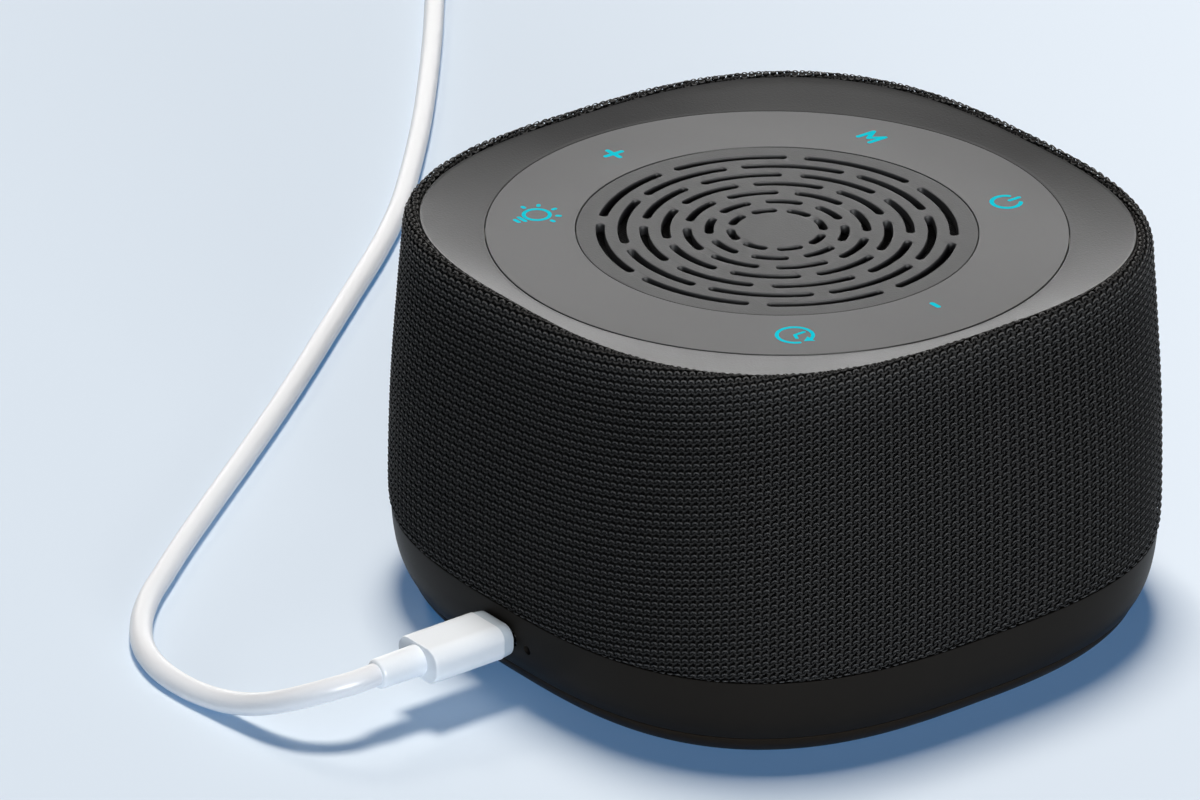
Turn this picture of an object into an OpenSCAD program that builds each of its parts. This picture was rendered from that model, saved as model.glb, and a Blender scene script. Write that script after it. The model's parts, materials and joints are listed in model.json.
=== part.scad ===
// White noise sound machine: fabric-clad squircle body, touch ring with six
// lit symbols, slotted speaker grille, full-range speaker, rechargeable cell,
// USB-C socket and its lead. Units mm, +Z up, origin on the floor under the
// middle of the body. The USB-C port is on the -Y face.

/* [Body] */
// Width of the body across its flat sides, over the fabric
body_w = 121.8; // [121.4:0.1:122.2]
// Exponent of the squircle outline: 2 is a circle, larger is squarer
corner_n = 2.8; // [2.7:0.05:2.9]
// Gap between the side shell and the fabric drawn over it
fabric_gap = 0.05; // [0.02:0.01:0.1]

/* [Top] */
// Radius of the touch ring
disc_r = 49.9; // [49.5:0.05:50]
// Radius of the round speaker grille
grille_r = 34.4; // [34.2:0.05:34.5]
// Thickness of the grille plate
grille_t = 1.5; // [1.2:0.1:1.5]
// Width of each grille slot
slot_w = 1.5; // [1:0.1:1.8]
// Distance between the rings of slots
slot_pitch = 3.72; // [3.6:0.01:3.75]
// Depth of the symbols let into the touch ring
icon_depth = 0.4; // [0.2:0.1:0.8]

/* [Speaker] */
// Outside radius of the speaker's flange
flange_r = 35; // [34.6:0.1:35.5]
// Outside radius of the ring magnet
magnet_r = 22; // [18:0.5:23]
// Height of the ring magnet
magnet_h = 9; // [6:0.5:9]

/* [Port and lead] */
// Height of the USB-C port's centre above the floor
port_z = 11.5; // [11.3:0.1:11.6]
// Sideways place of the pinhole, from the port
pin_x = 7.6; // [7.4:0.1:8.5]
// Width of the USB-C plug's moulded body
plug_w = 11; // [10.2:0.1:11.2]
// Thickness of the USB-C plug's moulded body
plug_h = 6.5; // [6:0.1:6.5]
// Diameter of the lead
cord_d = 4; // [3.6:0.1:4.2]

/* [Battery] */
// Diameter of the rechargeable cell
cell_d = 18.4; // [18:0.1:18.5]
// Length of the rechargeable cell
cell_l = 65; // [60:0.5:65]

/* [Hidden] */
N = 96;              // points round each squircle ring
$fn = 64;
k = body_w / 121.8;  // scale of the outline
plate_z = 70;        // top of the touch ring
grille_z = 68.2;     // underside of the grille and of the touch ring
floor_z = 66.4;      // bottom of the pocket in the top panel
panel_z = 63.4;      // underside of the top panel's floor
seam_z = 5;          // seam between the base and its lower cover
skirt_z = 17;        // top of the base, bottom of the fabric
board_z = port_z - 3.25; // underside of the main board
board_t = 1.6;
corner = 37;         // cover screws, from the middle, in X and in Y
corner2 = 42;        // shell screws
corner3 = 40.5;      // panel screws
cell_y = 20;
cell_z = 13.7;

// ---- squircle lofts ----

// Distance from the middle to a unit squircle at angle th
function sq(th) = 1 / pow(pow(abs(cos(th)), corner_n) + pow(abs(sin(th)), corner_n), 1 / corner_n);

// One ring: t = 0 is a circle of radius r, t = 1 a squircle of half width a
function ring(t, r, a, z) = [
    for (i = [0:N - 1]) let (th = 360 * i / N, d = (1 - t) * r + t * a * k * sq(th))
        [d * cos(th), d * sin(th), z]];

// A closed loop of rings, as a revolved profile: out along the outside going
// up, back along the inside going down
module loft_loop(rings) {
    m = len(rings);
    polyhedron(
        points = [for (q = rings) each ring(q[0], q[1], q[2], q[3])],
        faces = [for (i = [0:m - 1]) for (j = [0:N - 1])
            let (a = i * N, b = ((i + 1) % m) * N, n = (j + 1) % N)
                [a + j, b + j, b + n, a + n]],
        convexity = 6);
}

// Rings of squircles only, given as [half width, height]
function squircles(p) = [for (q = p) [1, 0, q[0], q[1]]];

// A flat plate with a squircle edge
module squircle_plate(a, z0, z1)
    translate([0, 0, z0]) linear_extrude(z1 - z0)
        polygon([for (p = ring(1, 0, a, 0)) [p[0], p[1]]]);

// The four places at (+-d, +-d)
module at_corners(d) for (x = [-d, d], y = [-d, d]) translate([x, y, 0]) children();

// A screw, head down, shank up, its head's underside face at z = 0
module screw(d, l, hd, hh) {
    difference() {
        translate([0, 0, -hh]) cylinder(h = hh, d = hd);
        for (a = [0, 90]) rotate(a)
            translate([-hd * 0.32, -hd * 0.07, -hh - 1]) cube([hd * 0.64, hd * 0.14, 1 + hh * 0.55]);
    }
    cylinder(h = l, d = d);
}

// A stadium of width w and height h in the XY plane
module stadium(w, h) {
    square([w - h, h], center = true);
    for (s = [-1, 1]) translate([s * (w - h) / 2, 0]) circle(d = h);
}

// The stadium drawn along +Y from y0 to y1, at the port's height
module along_y(y0, y1) translate([0, y1, port_z]) rotate([90, 0, 0]) linear_extrude(y1 - y0) children();

// ---- swept tubes ----

function unit(v) = v / norm(v);
function spline(p, m) = let (n = len(p)) concat(
    [for (i = [0:n - 2]) let (
            a = i == 0 ? 2 * p[0] - p[1] : p[i - 1], b = p[i], c = p[i + 1],
            d = i == n - 2 ? 2 * p[n - 1] - p[n - 2] : p[i + 2])
        for (j = [0:m - 1]) let (t = j / m)
            0.5 * (2 * b + (c - a) * t + (2 * a - 5 * b + 4 * c - d) * t * t
                + (3 * b - a - 3 * c + d) * t * t * t)],
    [p[n - 1]]);
function tangent(p, i) = let (n = len(p))
    unit(i == 0 ? p[1] - p[0] : i == n - 1 ? p[n - 1] - p[n - 2] : p[i + 1] - p[i - 1]);

// A tube of radius r along the points p, with s sides. up is a direction that
// the path never takes.
module tube(p, r, s, up = [0, 0, 1]) {
    n = len(p);
    polyhedron(
        points = [for (i = [0:n - 1]) let (
                t = tangent(p, i), u = unit(cross(up, t)), v = cross(t, u))
            for (j = [0:s - 1]) p[i] + r * (cos(360 * j / s) * u + sin(360 * j / s) * v)],
        faces = concat(
            [[for (j = [0:s - 1]) j]],
            [for (i = [0:n - 2]) for (j = [0:s - 1]) let (a = i * s, b = a + s, q = (j + 1) % s)
                [a + j, b + j, b + q, a + q]],
            [[for (j = [s - 1:-1:0]) (n - 1) * s + j]]),
        convexity = 8);
}

// ---- fabric and shells ----

// Height and half width of the side shell's outside, from the bottom up
shell_out = [[59.55, 17], [59.85, 22.5], [59.65, 32.5], [59.1, 45], [58.4, 55], [57.85, 62.5], [57.45, 67], [57.2, 69.8]];

module fabric_cover() color([0.05, 0.05, 0.055]) {
    g = fabric_gap;
    loft_loop(squircles(concat(
        [[60.4, 17], [60.75, 18.4], [60.9, 22.5], [60.7, 32.5], [60.15, 45], [59.45, 55], [58.9, 62.5],
         [58.5, 67], [58.4, 69.8], [58.1, 71], [57.4, 72], [56.6, 72.4], [56, 72.2], [55.72, 71.6], [55.72, 70.3], [56.2, 69.85]],
        [for (i = [7:-1:0]) [shell_out[i][0] + g, shell_out[i][1] + (i == 7 ? 0.05 : 0)]])));
}

module side_shell() color([0.12, 0.12, 0.13]) difference() {
    union() {
        loft_loop(squircles(concat(shell_out,
            [[56.3, 69.8], [55.4, 68.6], [55.4, 62], [56.3, 57], [57, 45], [57.6, 32.5], [57.6, 17]])));
        // lower screw posts, with a rib to the corner
        at_corners(corner2) cylinder(h = 36, r = 3.4, $fn = 32);
        for (a = [45:90:315]) rotate(a) translate([59, -1, skirt_z]) cube([5.6, 2, 20]);
        // upper lugs that the top panel is screwed to
        for (a = [45:90:315]) rotate(a) translate([53.5, -4, 57.5]) cube([8.2, 8, 2.5]);
    }
    // the posts start at the shell's lower edge
    translate([-70, -70, -1]) cube([140, 140, 18]);
    at_corners(corner2) translate([0, 0, skirt_z - 1]) cylinder(h = 14, r = 1.25);
    at_corners(corner3) translate([0, 0, 56]) cylinder(h = 6, r = 1.5);
}

module top_panel() color([0.40, 0.40, 0.41]) difference() {
    union() {
        // dished rim between the touch ring and the fabric, with a skirt
        loft_loop([
            [0, 50.7, 0, 69.95], [0, 50.7, 0, 67.9], [0.3, 50.7, 55.6, 68.1], [1, 0, 53.4, 69], [1, 0, 53.4, 62], [1, 0, 55.2, 62],
            [1, 0, 55.2, 69.8], [1, 0, 55.6, 70.3], [1, 0, 55.62, 71.3], [1, 0, 55.5, 71.55], [0.8, 50.7, 55.5, 71.02],
            [0.6, 50.7, 55.5, 70.63], [0.4, 50.7, 55.5, 70.33], [0.2, 50.7, 55.5, 70.1]]);
        // the pocket for the board, the touch ring and the grille
        rotate_extrude($fn = 128) polygon([
            [30, panel_z], [52, panel_z], [52, 69], [51.4, 69.7], [50.25, 69.7], [50.25, floor_z],
            [35.2, floor_z], [35.2, grille_z], [32.2, grille_z], [32.2, floor_z], [30, floor_z]]);
        at_corners(corner3) translate([0, 0, 60.1]) cylinder(h = 9, r = 2.8, $fn = 32);
    }
    at_corners(corner3) translate([0, 0, 59]) cylinder(h = 8.5, r = 1.25);
    // speaker screws
    for (a = [45:90:315]) rotate(a) translate([33, 0, panel_z - 1]) cylinder(h = 3.8, r = 1);
    // slot for the ribbon
    translate([-5, 40.4, panel_z - 1]) cube([10, 1.6, 6]);
}

// ---- touch ring and symbols ----

// A half circle's points about c, from angle a, turning left
function cap(c, r, a) = [for (i = [0:6]) c + r * [cos(a + 30 * i), sin(a + 30 * i)]];

// A stroke of width w with round ends from p to q
module stroke(p, q, w) {
    a = atan2(q[1] - p[1], q[0] - p[0]);
    polygon(concat(cap(q, w / 2, a - 90), cap(p, w / 2, a + 90)));
}

// Part of a ring of radius r and width w, from angle a0 to a1, ends round
module arc(r, w, a0, a1) {
    m = max(6, ceil((a1 - a0) / 12));
    e0 = cap(r * [cos(a0), sin(a0)], w / 2, a0 + 180);
    e1 = cap(r * [cos(a1), sin(a1)], w / 2, a1);
    polygon(concat(
        [for (i = [0:m]) let (a = a0 + (a1 - a0) * i / m) (r + w / 2) * [cos(a), sin(a)]],
        [for (i = [1:5]) e1[i]],
        [for (i = [m:-1:0]) let (a = a0 + (a1 - a0) * i / m) (r - w / 2) * [cos(a), sin(a)]],
        [for (i = [1:5]) e0[i]]));
}

iw = 0.58; // width of the symbols' lines

module icon_lamp() {
    translate([0.04, -0.45]) {
        difference() {
            circle(2.25 + iw / 2, $fn = 48);
            circle(2.25 - iw / 2, $fn = 48);
        }
        for (a = [0:45:180]) stroke(3.55 * [cos(a), sin(a)], 4.0 * [cos(a), sin(a)], iw + 0.04);
    }
    stroke([-0.9, -3.62], [0.98, -3.62], iw);
    stroke([-0.52, -4.75], [0.6, -4.75], iw);
}
module icon_plus() {
    stroke([-1.72, 0.08], [1.72, 0.08], 0.72);
    stroke([0, -1.64], [0, 1.8], 0.72);
}
module icon_minus() stroke([-0.8, 0], [0.8, 0], 0.74);
module icon_mode() {
    p = [[-1.62, -1.72], [-1.62, 1.78], [-0.05, -0.72], [1.52, 1.78], [1.52, -1.72]];
    for (i = [0:3]) stroke(p[i], p[i + 1], 0.74);
}
module icon_power() {
    arc(2.5, 0.66, 129, 409);
    stroke([-0.1, 0.85], [-0.1, 2.95], 0.64);
}
module icon_timer() {
    arc(3.02, 0.54, 28, 336);
    stroke([0, 0], [0, 1.95], 0.5);
    stroke([0, 0], [1.15, -0.5], 0.5);
    polygon([[1.7, 1.3], [2.75, -0.3], [3.8, 1.3]]);
}
// Place of each symbol on the ring
icons_at = [[-29.8, -28.5], [-41.8, -2.9], [-20, 37.4], [15.2, 38.4], [39.9, 1.9], [34.7, -24.2]];
module icon_2d(i) translate(icons_at[i]) {
    if (i == 0) icon_lamp();
    if (i == 1) icon_plus();
    if (i == 2) icon_mode();
    if (i == 3) icon_power();
    if (i == 4) icon_minus();
    if (i == 5) icon_timer();
}

module touch_ring() color([0.45, 0.45, 0.46]) difference() {
    rotate_extrude($fn = 128) polygon([
        [grille_r + 0.25, grille_z], [disc_r, grille_z], [disc_r, plate_z - 0.2], [disc_r - 0.2, plate_z],
        [grille_r + 0.45, plate_z], [grille_r + 0.25, plate_z - 0.2]]);
    for (i = [0:5]) translate([0, 0, plate_z - icon_depth]) linear_extrude(2) icon_2d(i);
}

module touch_icons() color([0.1, 0.78, 0.84])
    for (i = [0:5]) translate([0, 0, plate_z - icon_depth]) linear_extrude(icon_depth + 0.02) icon_2d(i);

// ---- grille ----

// Half the angle of a slot in each ring, from the outside in
slot_half = [18.2, 18, 16.6, 16.1, 14.4, 12.2, 11];

module speaker_grille() color([0.42, 0.42, 0.43]) difference() {
    rotate_extrude($fn = 128) polygon([
        [0, grille_z], [grille_r, grille_z], [grille_r, grille_z + grille_t - 0.25],
        [grille_r - 0.25, grille_z + grille_t], [0, grille_z + grille_t]]);
    translate([0, 0, grille_z - 1]) linear_extrude(grille_t + 2)
        for (i = [0:6], j = [0:7]) let (
                r = 30.25 - slot_pitch * i, mid = 45 * j + (i % 2 == 0 ? 22.5 : 0))
            arc(r, slot_w, mid - slot_half[i], mid + slot_half[i]);
}

module grille_cloth() color([0.03, 0.03, 0.03]) translate([0, 0, grille_z - 0.3]) cylinder(h = 0.3, r = 32, $fn = 96);

// ---- boards under the ring ----

module touch_board() color([0.05, 0.25, 0.12]) difference() {
    translate([0, 0, floor_z]) cylinder(h = 1.2, r = 48.9, $fn = 96);
    translate([0, 0, floor_z - 1]) cylinder(h = 4, r = 35.5, $fn = 96);
    translate([-4.5, 40.2, floor_z - 1]) cube([9, 2, 4]);
}
module touch_electrodes() color([0.8, 0.5, 0.25])
    for (p = icons_at) translate([p[0], p[1], floor_z + 1.2]) difference() {
        cylinder(h = 0.1, r = 4.6, $fn = 48);
        translate([0, 0, -1]) cylinder(h = 2, r = 1.6, $fn = 32);
    }
module key_leds() color([0.95, 0.95, 0.9])
    for (p = icons_at) translate([p[0] - 0.8, p[1] - 0.4, floor_z + 1.2]) cube([1.6, 0.8, 0.45]);
module light_ring() color([0.92, 0.92, 0.9]) rotate_extrude($fn = 128)
    polygon([[49.1, floor_z], [50.15, floor_z], [50.15, grille_z], [49.3, grille_z], [49.1, grille_z - 0.3]]);
module night_leds() color([0.95, 0.93, 0.8])
    for (a = [11.25:22.5:349]) rotate(a) translate([47.4, -0.8, floor_z + 1.2]) cube([1.2, 1.6, 0.5]);

// ---- speaker ----

gasket_z = 62.6; // top face of the basket's flange

module speaker_gasket() color([0.06, 0.06, 0.06]) difference() {
    translate([0, 0, gasket_z]) cylinder(h = panel_z - gasket_z, r = flange_r - 0.3, $fn = 96);
    translate([0, 0, gasket_z - 1]) cylinder(h = 4, r = 30.4, $fn = 96);
    for (a = [45:90:315]) rotate(a) translate([33, 0, gasket_z - 1]) cylinder(h = 4, r = 1.15);
}
module speaker_basket() color([0.16, 0.16, 0.17]) difference() {
    rotate_extrude($fn = 96) polygon([
        [28.6, gasket_z], [flange_r, gasket_z], [flange_r, 61.4], [30.2, 61.4], [23.2, 50.6], [23.2, 48.5],
        [10.6, 48.5], [10.6, 49.6], [19.2, 49.6], [19.2, 51.2], [22.2, 51.2], [28.6, 61.2]]);
    // windows in the sloping wall
    for (a = [0:60:300]) rotate(a) translate([18, -6, 52.6]) cube([20, 12, 7]);
    for (a = [45:90:315]) rotate(a) translate([33, 0, 60]) cylinder(h = 4, r = 1.15);
}
// Half-roll surround: outer lip on the flange, inner lip on the cone's rim
module cone_surround() color([0.05, 0.05, 0.05]) rotate_extrude($fn = 96) polygon(concat(
    [[30.1, gasket_z], [30.1, gasket_z + 0.4]],
    [for (i = [0:10]) let (a = 18 * i) [26.3 + 2.1 * cos(a), gasket_z + 0.4 + 2.1 * sin(a)]],
    [[22.6, gasket_z + 0.4], [22.6, gasket_z]],
    [for (i = [10:-1:0]) let (a = 18 * i) [26.3 + 1.75 * cos(a), gasket_z + 1.75 * sin(a)]]));
module speaker_cone() color([0.13, 0.13, 0.14]) rotate_extrude($fn = 96) polygon([
    [23.8, gasket_z], [23.8, gasket_z - 0.5], [22.9, gasket_z - 0.6], [9.7, 54.2], [8.95, 54.2], [8.95, 54.8], [9.4, 54.8], [22.5, gasket_z]]);
module dust_cap() color([0.1, 0.1, 0.1]) rotate_extrude($fn = 64) polygon(concat(
    [[9.4, 54.8], [10.2, 55.35]],
    [for (i = [1:8]) let (a = 90 * i / 8) [10.2 * cos(a), 55.35 + 2.6 * sin(a)]],
    [for (i = [8:-1:1]) let (a = 90 * i / 8) [9.7 * cos(a), 55 + 2.45 * sin(a)]],
    [[9.4, 55]]));
// Former and winding
module voice_coil() color([0.72, 0.38, 0.18]) rotate_extrude($fn = 64) polygon([
    [8.65, 42.5], [8.95, 42.5], [8.95, 43.2], [9.35, 43.2], [9.35, 50], [8.95, 50], [8.95, 54.8], [8.65, 54.8]]);
// Corrugated disc that keeps the voice coil central
module spider() color([0.75, 0.6, 0.3]) rotate_extrude($fn = 64) polygon(concat(
    [[8.98, 51.2]], [for (i = [0:16]) [9.6 + 9.4 * i / 16, 51.35 + 0.35 * sin(180 * i / 2 + 180)]], [[20.8, 51.2], [20.8, 51.55]],
    [for (i = [16:-1:0]) [9.6 + 9.4 * i / 16, 51.65 + 0.35 * sin(180 * i / 2 + 180)]], [[8.98, 51.55]]));
module front_pole_plate() color([0.7, 0.7, 0.72]) difference() {
    translate([0, 0, 45]) cylinder(h = 3.5, r = magnet_r - 1.5, $fn = 96);
    translate([0, 0, 44]) cylinder(h = 6, r = 9.75, $fn = 96);
}
module speaker_magnet() color([0.2, 0.2, 0.21]) difference() {
    translate([0, 0, 45 - magnet_h]) cylinder(h = magnet_h, r = magnet_r, $fn = 96);
    translate([0, 0, 30]) cylinder(h = 20, r = 11.5, $fn = 96);
}
module back_pole_plate() color([0.66, 0.66, 0.68]) {
    translate([0, 0, 45 - magnet_h - 3.5]) cylinder(h = 3.5, r = magnet_r - 1.5, $fn = 96);
    translate([0, 0, 45 - magnet_h]) cylinder(h = magnet_h + 3.5, r = 8.2, $fn = 96);
}
module speaker_terminals() color([0.75, 0.6, 0.35]) rotate(-90) translate([24.5, 0, 0]) {
    translate([-1, -5, 47.9]) cube([1.2, 10, 2.9]);
    translate([-1.3, -0.7, 48.7]) cube([0.5, 1.4, 1.4]);
    for (y = [-3, 3]) translate([0.2, y - 1, 49.2]) cube([2.2, 2, 0.4]);
}
module speaker_screws() color([0.75, 0.75, 0.77])
    for (a = [45:90:315]) rotate(a) translate([33, 0, 61.4]) screw(2, 4.6, 3.8, 1.3);

// ---- base ----

module base_housing() color([0.09, 0.09, 0.095]) difference() {
    union() {
        loft_loop(squircles([
            [57.55, 5.1], [58.55, 7], [59.3, 9], [59.78, 11], [60.08, 13], [60.28, 15], [60.4, 17],
            [57.4, 17], [57.4, 20], [55.7, 20], [55.7, 15.8], [57.5, 14], [57.1, 10], [56.4, 7.5], [55.3, 5.1]]));
        // bosses for the cover screws, hung from the shelf at each corner
        at_corners(corner) translate([0, 0, 4.8]) cylinder(h = 11.2, r = 3.4, $fn = 32);
        // the shelves, which the side shell is screwed to
        for (a = [45:90:315]) rotate(a) translate([49.5, -9, 15]) cube([12.5, 18, 2]);
    }
    // room for the side shell's posts in the raised lip
    for (a = [45:90:315]) rotate(a) translate([57, -3.8, 17]) cube([9, 7.6, 4]);
    at_corners(corner) translate([0, 0, 4]) cylinder(h = 9, r = 1.25);
    at_corners(corner2) translate([0, 0, 14]) cylinder(h = 4, r = 1.6);
    // port opening and pinhole
    along_y(-62, -54) stadium(9.4, 3.6);
    translate([pin_x, -54, port_z - 0.6]) rotate([90, 0, 0]) cylinder(h = 8, r = 0.65, $fn = 24);
}

module bottom_cover() color([0.075, 0.078, 0.085]) difference() {
    union() {
        loft_loop(squircles([
            [53, 0.6], [54.4, 1.1], [55.8, 2.3], [56.9, 3.7], [57.42, 4.9],
            [55.1, 4.9], [55.1, 7], [53.4, 7], [53.4, 2.6], [50, 2.6], [50, 0.6]]));
        squircle_plate(50.5, 0.6, 2.6);
        at_corners(corner) translate([0, 0, 1.6]) cylinder(h = 3.1, r = 4.6);
        // board standoffs
        for (x = [-28, 28], y = [-47.5, -27]) translate([x, y, 2.5]) cylinder(h = board_z - 2.5, r = 2.3, $fn = 32);
    }
    // counterbored screw holes
    at_corners(corner) translate([0, 0, -1]) cylinder(h = 4.2, r = 3.1);
    at_corners(corner) cylinder(h = 8, r = 1.55);
    for (x = [-28, 28], y = [-47.5, -27]) translate([x, y, 3.6]) cylinder(h = 8, r = 0.95);
    // groove for the rubber ring
    rotate_extrude($fn = 96) translate([40.8, -1]) square([5.4, 2.7]);
}
module foot_ring() color([0.04, 0.04, 0.045]) rotate_extrude($fn = 96)
    polygon([[41.4, 0], [45.6, 0], [46, 0.4], [46, 1.7], [41, 1.7], [41, 0.4]]);

module cover_screws() color([0.72, 0.72, 0.74]) at_corners(corner) translate([0, 0, 3.2]) screw(2.5, 8.8, 5, 1.8);
module shell_screws() color([0.72, 0.72, 0.74]) at_corners(corner2) translate([0, 0, 15]) screw(2.5, 12, 4.6, 1.6);
module panel_screws() color([0.72, 0.72, 0.74]) at_corners(corner3) translate([0, 0, 57.5]) screw(2.5, 9, 4.6, 1.6);

// ---- electronics in the base ----

module main_board() color([0.05, 0.3, 0.15]) difference() {
    union() {
        translate([-32, -50.8, board_z]) cube([64, 28, board_t]);
        translate([-7, -56.2, board_z]) cube([18, 6, board_t]);
    }
    for (x = [-28, 28], y = [-47.5, -27]) translate([x, y, board_z - 1]) cylinder(h = 4, r = 1.2);
}
module board_parts() color([0.1, 0.1, 0.11]) {
    t = board_z + board_t;
    translate([-16, -43, t]) cube([8, 8, 1.1]);     // controller
    translate([8, -40, t]) cube([6, 5, 1.2]);       // amplifier
    translate([-22, -33, t]) cube([5, 4, 1]);       // charger
    for (p = [[18, -36], [18, -30]]) translate([p[0], p[1], t]) cylinder(h = 6.5, d = 5, $fn = 32);
    translate([-4, -36, t]) cylinder(h = 3, d = 6, $fn = 32);
    translate([22, -44, t]) cube([4, 6, 3.6]);      // battery connector
    translate([-28, -40, t]) cube([4, 6, 3.6]);     // speaker connector
    translate([-5, -26.5, t]) cube([10, 3, 2]);     // ribbon connector
    translate([pin_x - 0.8, -51.3, t]) cube([1.6, 1.4, 1.4]); // charge LED
}
module usb_socket() color([0.78, 0.78, 0.8]) {
    difference() {
        along_y(-58.9, -51.1) stadium(9.1, 3.3);
        along_y(-60, -52.2) stadium(8.5, 2.7);
    }
    translate([-3.3, -57.3, port_z - 0.32]) cube([6.6, 6, 0.64]);
}
module board_screws() color([0.75, 0.75, 0.77])
    for (x = [-28, 28], y = [-47.5, -27]) translate([x, y, board_z + board_t]) rotate([180, 0, 0]) screw(1.7, 4.6, 3.4, 1.2);
module indicator_light() color([0.02, 0.02, 0.02]) {
    translate([pin_x, -51.5, port_z - 0.6]) rotate([90, 0, 0]) cylinder(h = 7.6, r = 0.55, $fn = 24);
    translate([pin_x, -51.5, port_z - 0.6]) rotate([90, 0, 0]) cylinder(h = 4, r = 1, $fn = 24);
}
module battery_cell() color([0.15, 0.35, 0.6]) translate([-cell_l / 2, cell_y, cell_z]) rotate([0, 90, 0]) {
    cylinder(h = cell_l, d = cell_d);
    translate([0, 0, cell_l]) cylinder(h = 0.8, d = 7);
}
module battery_cradle() color([0.14, 0.14, 0.15]) difference() {
    union() {
        translate([-36, cell_y - 10.5, 2.6]) cube([72, 21, 1.6]);
        for (x = [-24, 16]) translate([x, cell_y - 10.5, 2.6]) cube([8, 21, 9.4]);
        for (x = [-36, 33.8]) translate([x, cell_y - 7, 2.6]) cube([2.2, 14, 16]);
    }
    translate([-33.6, cell_y, cell_z]) rotate([0, 90, 0]) cylinder(h = 67.2, d = cell_d + 0.3);
}

// ---- wires ----

module battery_lead() color([0.7, 0.1, 0.1]) for (s = [0, 1])
    tube(spline([[36.6, cell_y + 3 - 5 * s, cell_z + 2], [39.2, cell_y - 2 - 4 * s, cell_z + 2.4 - s], [41.5 - 2 * s, 4, 14], [39 - 2 * s, -14, 13.4],
        [32 - 2 * s, -29 + 1.6 * s, 14.6], [26.6, -42 + 2.6 * s, 11.8]], 3), 0.55, 6, [0.2, 0.3, 1]);
module speaker_lead() color([0.15, 0.15, 0.16]) for (s = [-1, 1])
    tube(spline([[3 * s, -27.4, 49.2], [3 * s, -29, 46], [2.4 * s - 2, -31, 38], [1.6 * s - 8, -33 - s, 28], [s - 18, -35 - s, 20.4], [-25, -37 - 1.3 * s, 16.6], [-26, -37 - 1.3 * s, 13.5]], 3), 0.55, 6, [0, 1, 0.1]);
// Flat ribbon, drawn as its edge in the YZ plane
ribbon = [[41.2, 67.6], [41.2, 60], [46, 52], [47.5, 40], [45, 30], [34, 26], [8, 26], [-12, 21], [-22, 16], [-25, 12.2]];
module touch_ribbon() color([0.75, 0.75, 0.72]) rotate([90, 0, 90]) translate([0, 0, -4]) linear_extrude(8)
    polygon(concat(ribbon, [for (i = [len(ribbon) - 1:-1:0]) let (
        d = unit(i == 0 ? ribbon[1] - ribbon[0] : i == len(ribbon) - 1 ? ribbon[i] - ribbon[i - 1] : ribbon[i + 1] - ribbon[i - 1]))
            ribbon[i] + 0.4 * [-d[1], d[0]]]));

// ---- USB-C plug ----

plug_y = -60.6;   // front face of the plug's moulded body
collar_y = -77.2; // rear face of the moulded body
cord_y = -86;     // rear end of the collar, where the lead starts

module plug_shell() color([0.82, 0.82, 0.84]) difference() {
    along_y(plug_y - 3, -53.4) stadium(8.25, 2.4);
    along_y(-58.2, -50) stadium(7.1, 1.1);
}
module plug_overmold() color([0.93, 0.94, 0.95]) difference() {
    union() {
        along_y(plug_y - 1.6, plug_y) stadium(plug_w - 0.7, plug_h - 0.7);
        along_y(collar_y, plug_y - 1.6) stadium(plug_w, plug_h);
    }
    along_y(plug_y - 3, plug_y + 1) stadium(8.25, 2.4);
}
module plug_collar() color([0.92, 0.93, 0.94]) translate([0, 0, port_z]) rotate([90, 0, 0]) rotate_extrude($fn = 64)
    polygon([[0, -collar_y], [2.75, -collar_y], [2.65, -cord_y - 0.3], [2.4, -cord_y], [0, -cord_y]]);

// ---- lead ----

// Route of the lead's middle line, from the collar over the floor to the coil
route = [
    [0, -86, 11.5], [0, -90, 11.4], [-1.5, -94, 10.7], [-4.5, -97.5, 9.2], [-9, -100, 7], [-15, -101.5, 4.6],
    [-22, -102.6, 2.8], [-30, -103.5, 2], [-38, -103.4, 2], [-46.5, -101, 2], [-54.5, -96, 2], [-61, -90, 2],
    [-68, -81.5, 2], [-75.5, -72, 2], [-84.5, -60, 2], [-94.5, -46.5, 2], [-105, -32.5, 2], [-117, -17, 2],
    [-129, -2, 2], [-141, 13, 2], [-153.5, 28.5, 2], [-166, 42.5, 2], [-180, 56, 2], [-195.5, 70, 2],
    [-212, 84, 2], [-228.5, 97.5, 2], [-245, 110.5, 2], [-258, 121, 2.2], [-272, 132, 2.5], [-285.6, 143, 2.6]];
coil_c = [-302, 122];  // middle of the coil
coil_mid = 22.5;       // radius of the middle of its turns
coil_half = 6.2;       // half the width of its bundle
coil_z = [0.6, 8.8];   // its lowest and highest point
// The loose end beyond the coil, from the middle of the coil
tail = [
    [13.8, 22, 6.7], [8.8, 25.4, 6.65], [2.2, 28, 6.3], [-6, 28.6, 5.6], [-14.5, 26.8, 4.8], [-22.6, 22.6, 4.2], [-29.5, 16.4, 4], [-34.8, 9, 4]];
tail_dir = 238;        // direction of the far plug

module cable_tube() color([0.93, 0.94, 0.95]) tube(spline(route, 2), cord_d / 2, 10);
module cable_coil() color([0.93, 0.94, 0.95]) translate([coil_c[0], coil_c[1], 0]) rotate_extrude($fn = 96)
    polygon([
        [coil_mid - coil_half, coil_z[0] + 1.2], [coil_mid - coil_half + 1.2, coil_z[0]], [coil_mid + coil_half - 1.2, coil_z[0]],
        [coil_mid + coil_half, coil_z[0] + 1.2], [coil_mid + coil_half, coil_z[1] - 1.2], [coil_mid + coil_half - 1.2, coil_z[1]],
        [coil_mid - coil_half + 1.2, coil_z[1]], [coil_mid - coil_half, coil_z[1] - 1.2]]);
module cable_tail() color([0.93, 0.94, 0.95]) translate([coil_c[0], coil_c[1], 0]) tube(spline(tail, 1), cord_d / 2, 10);
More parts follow.
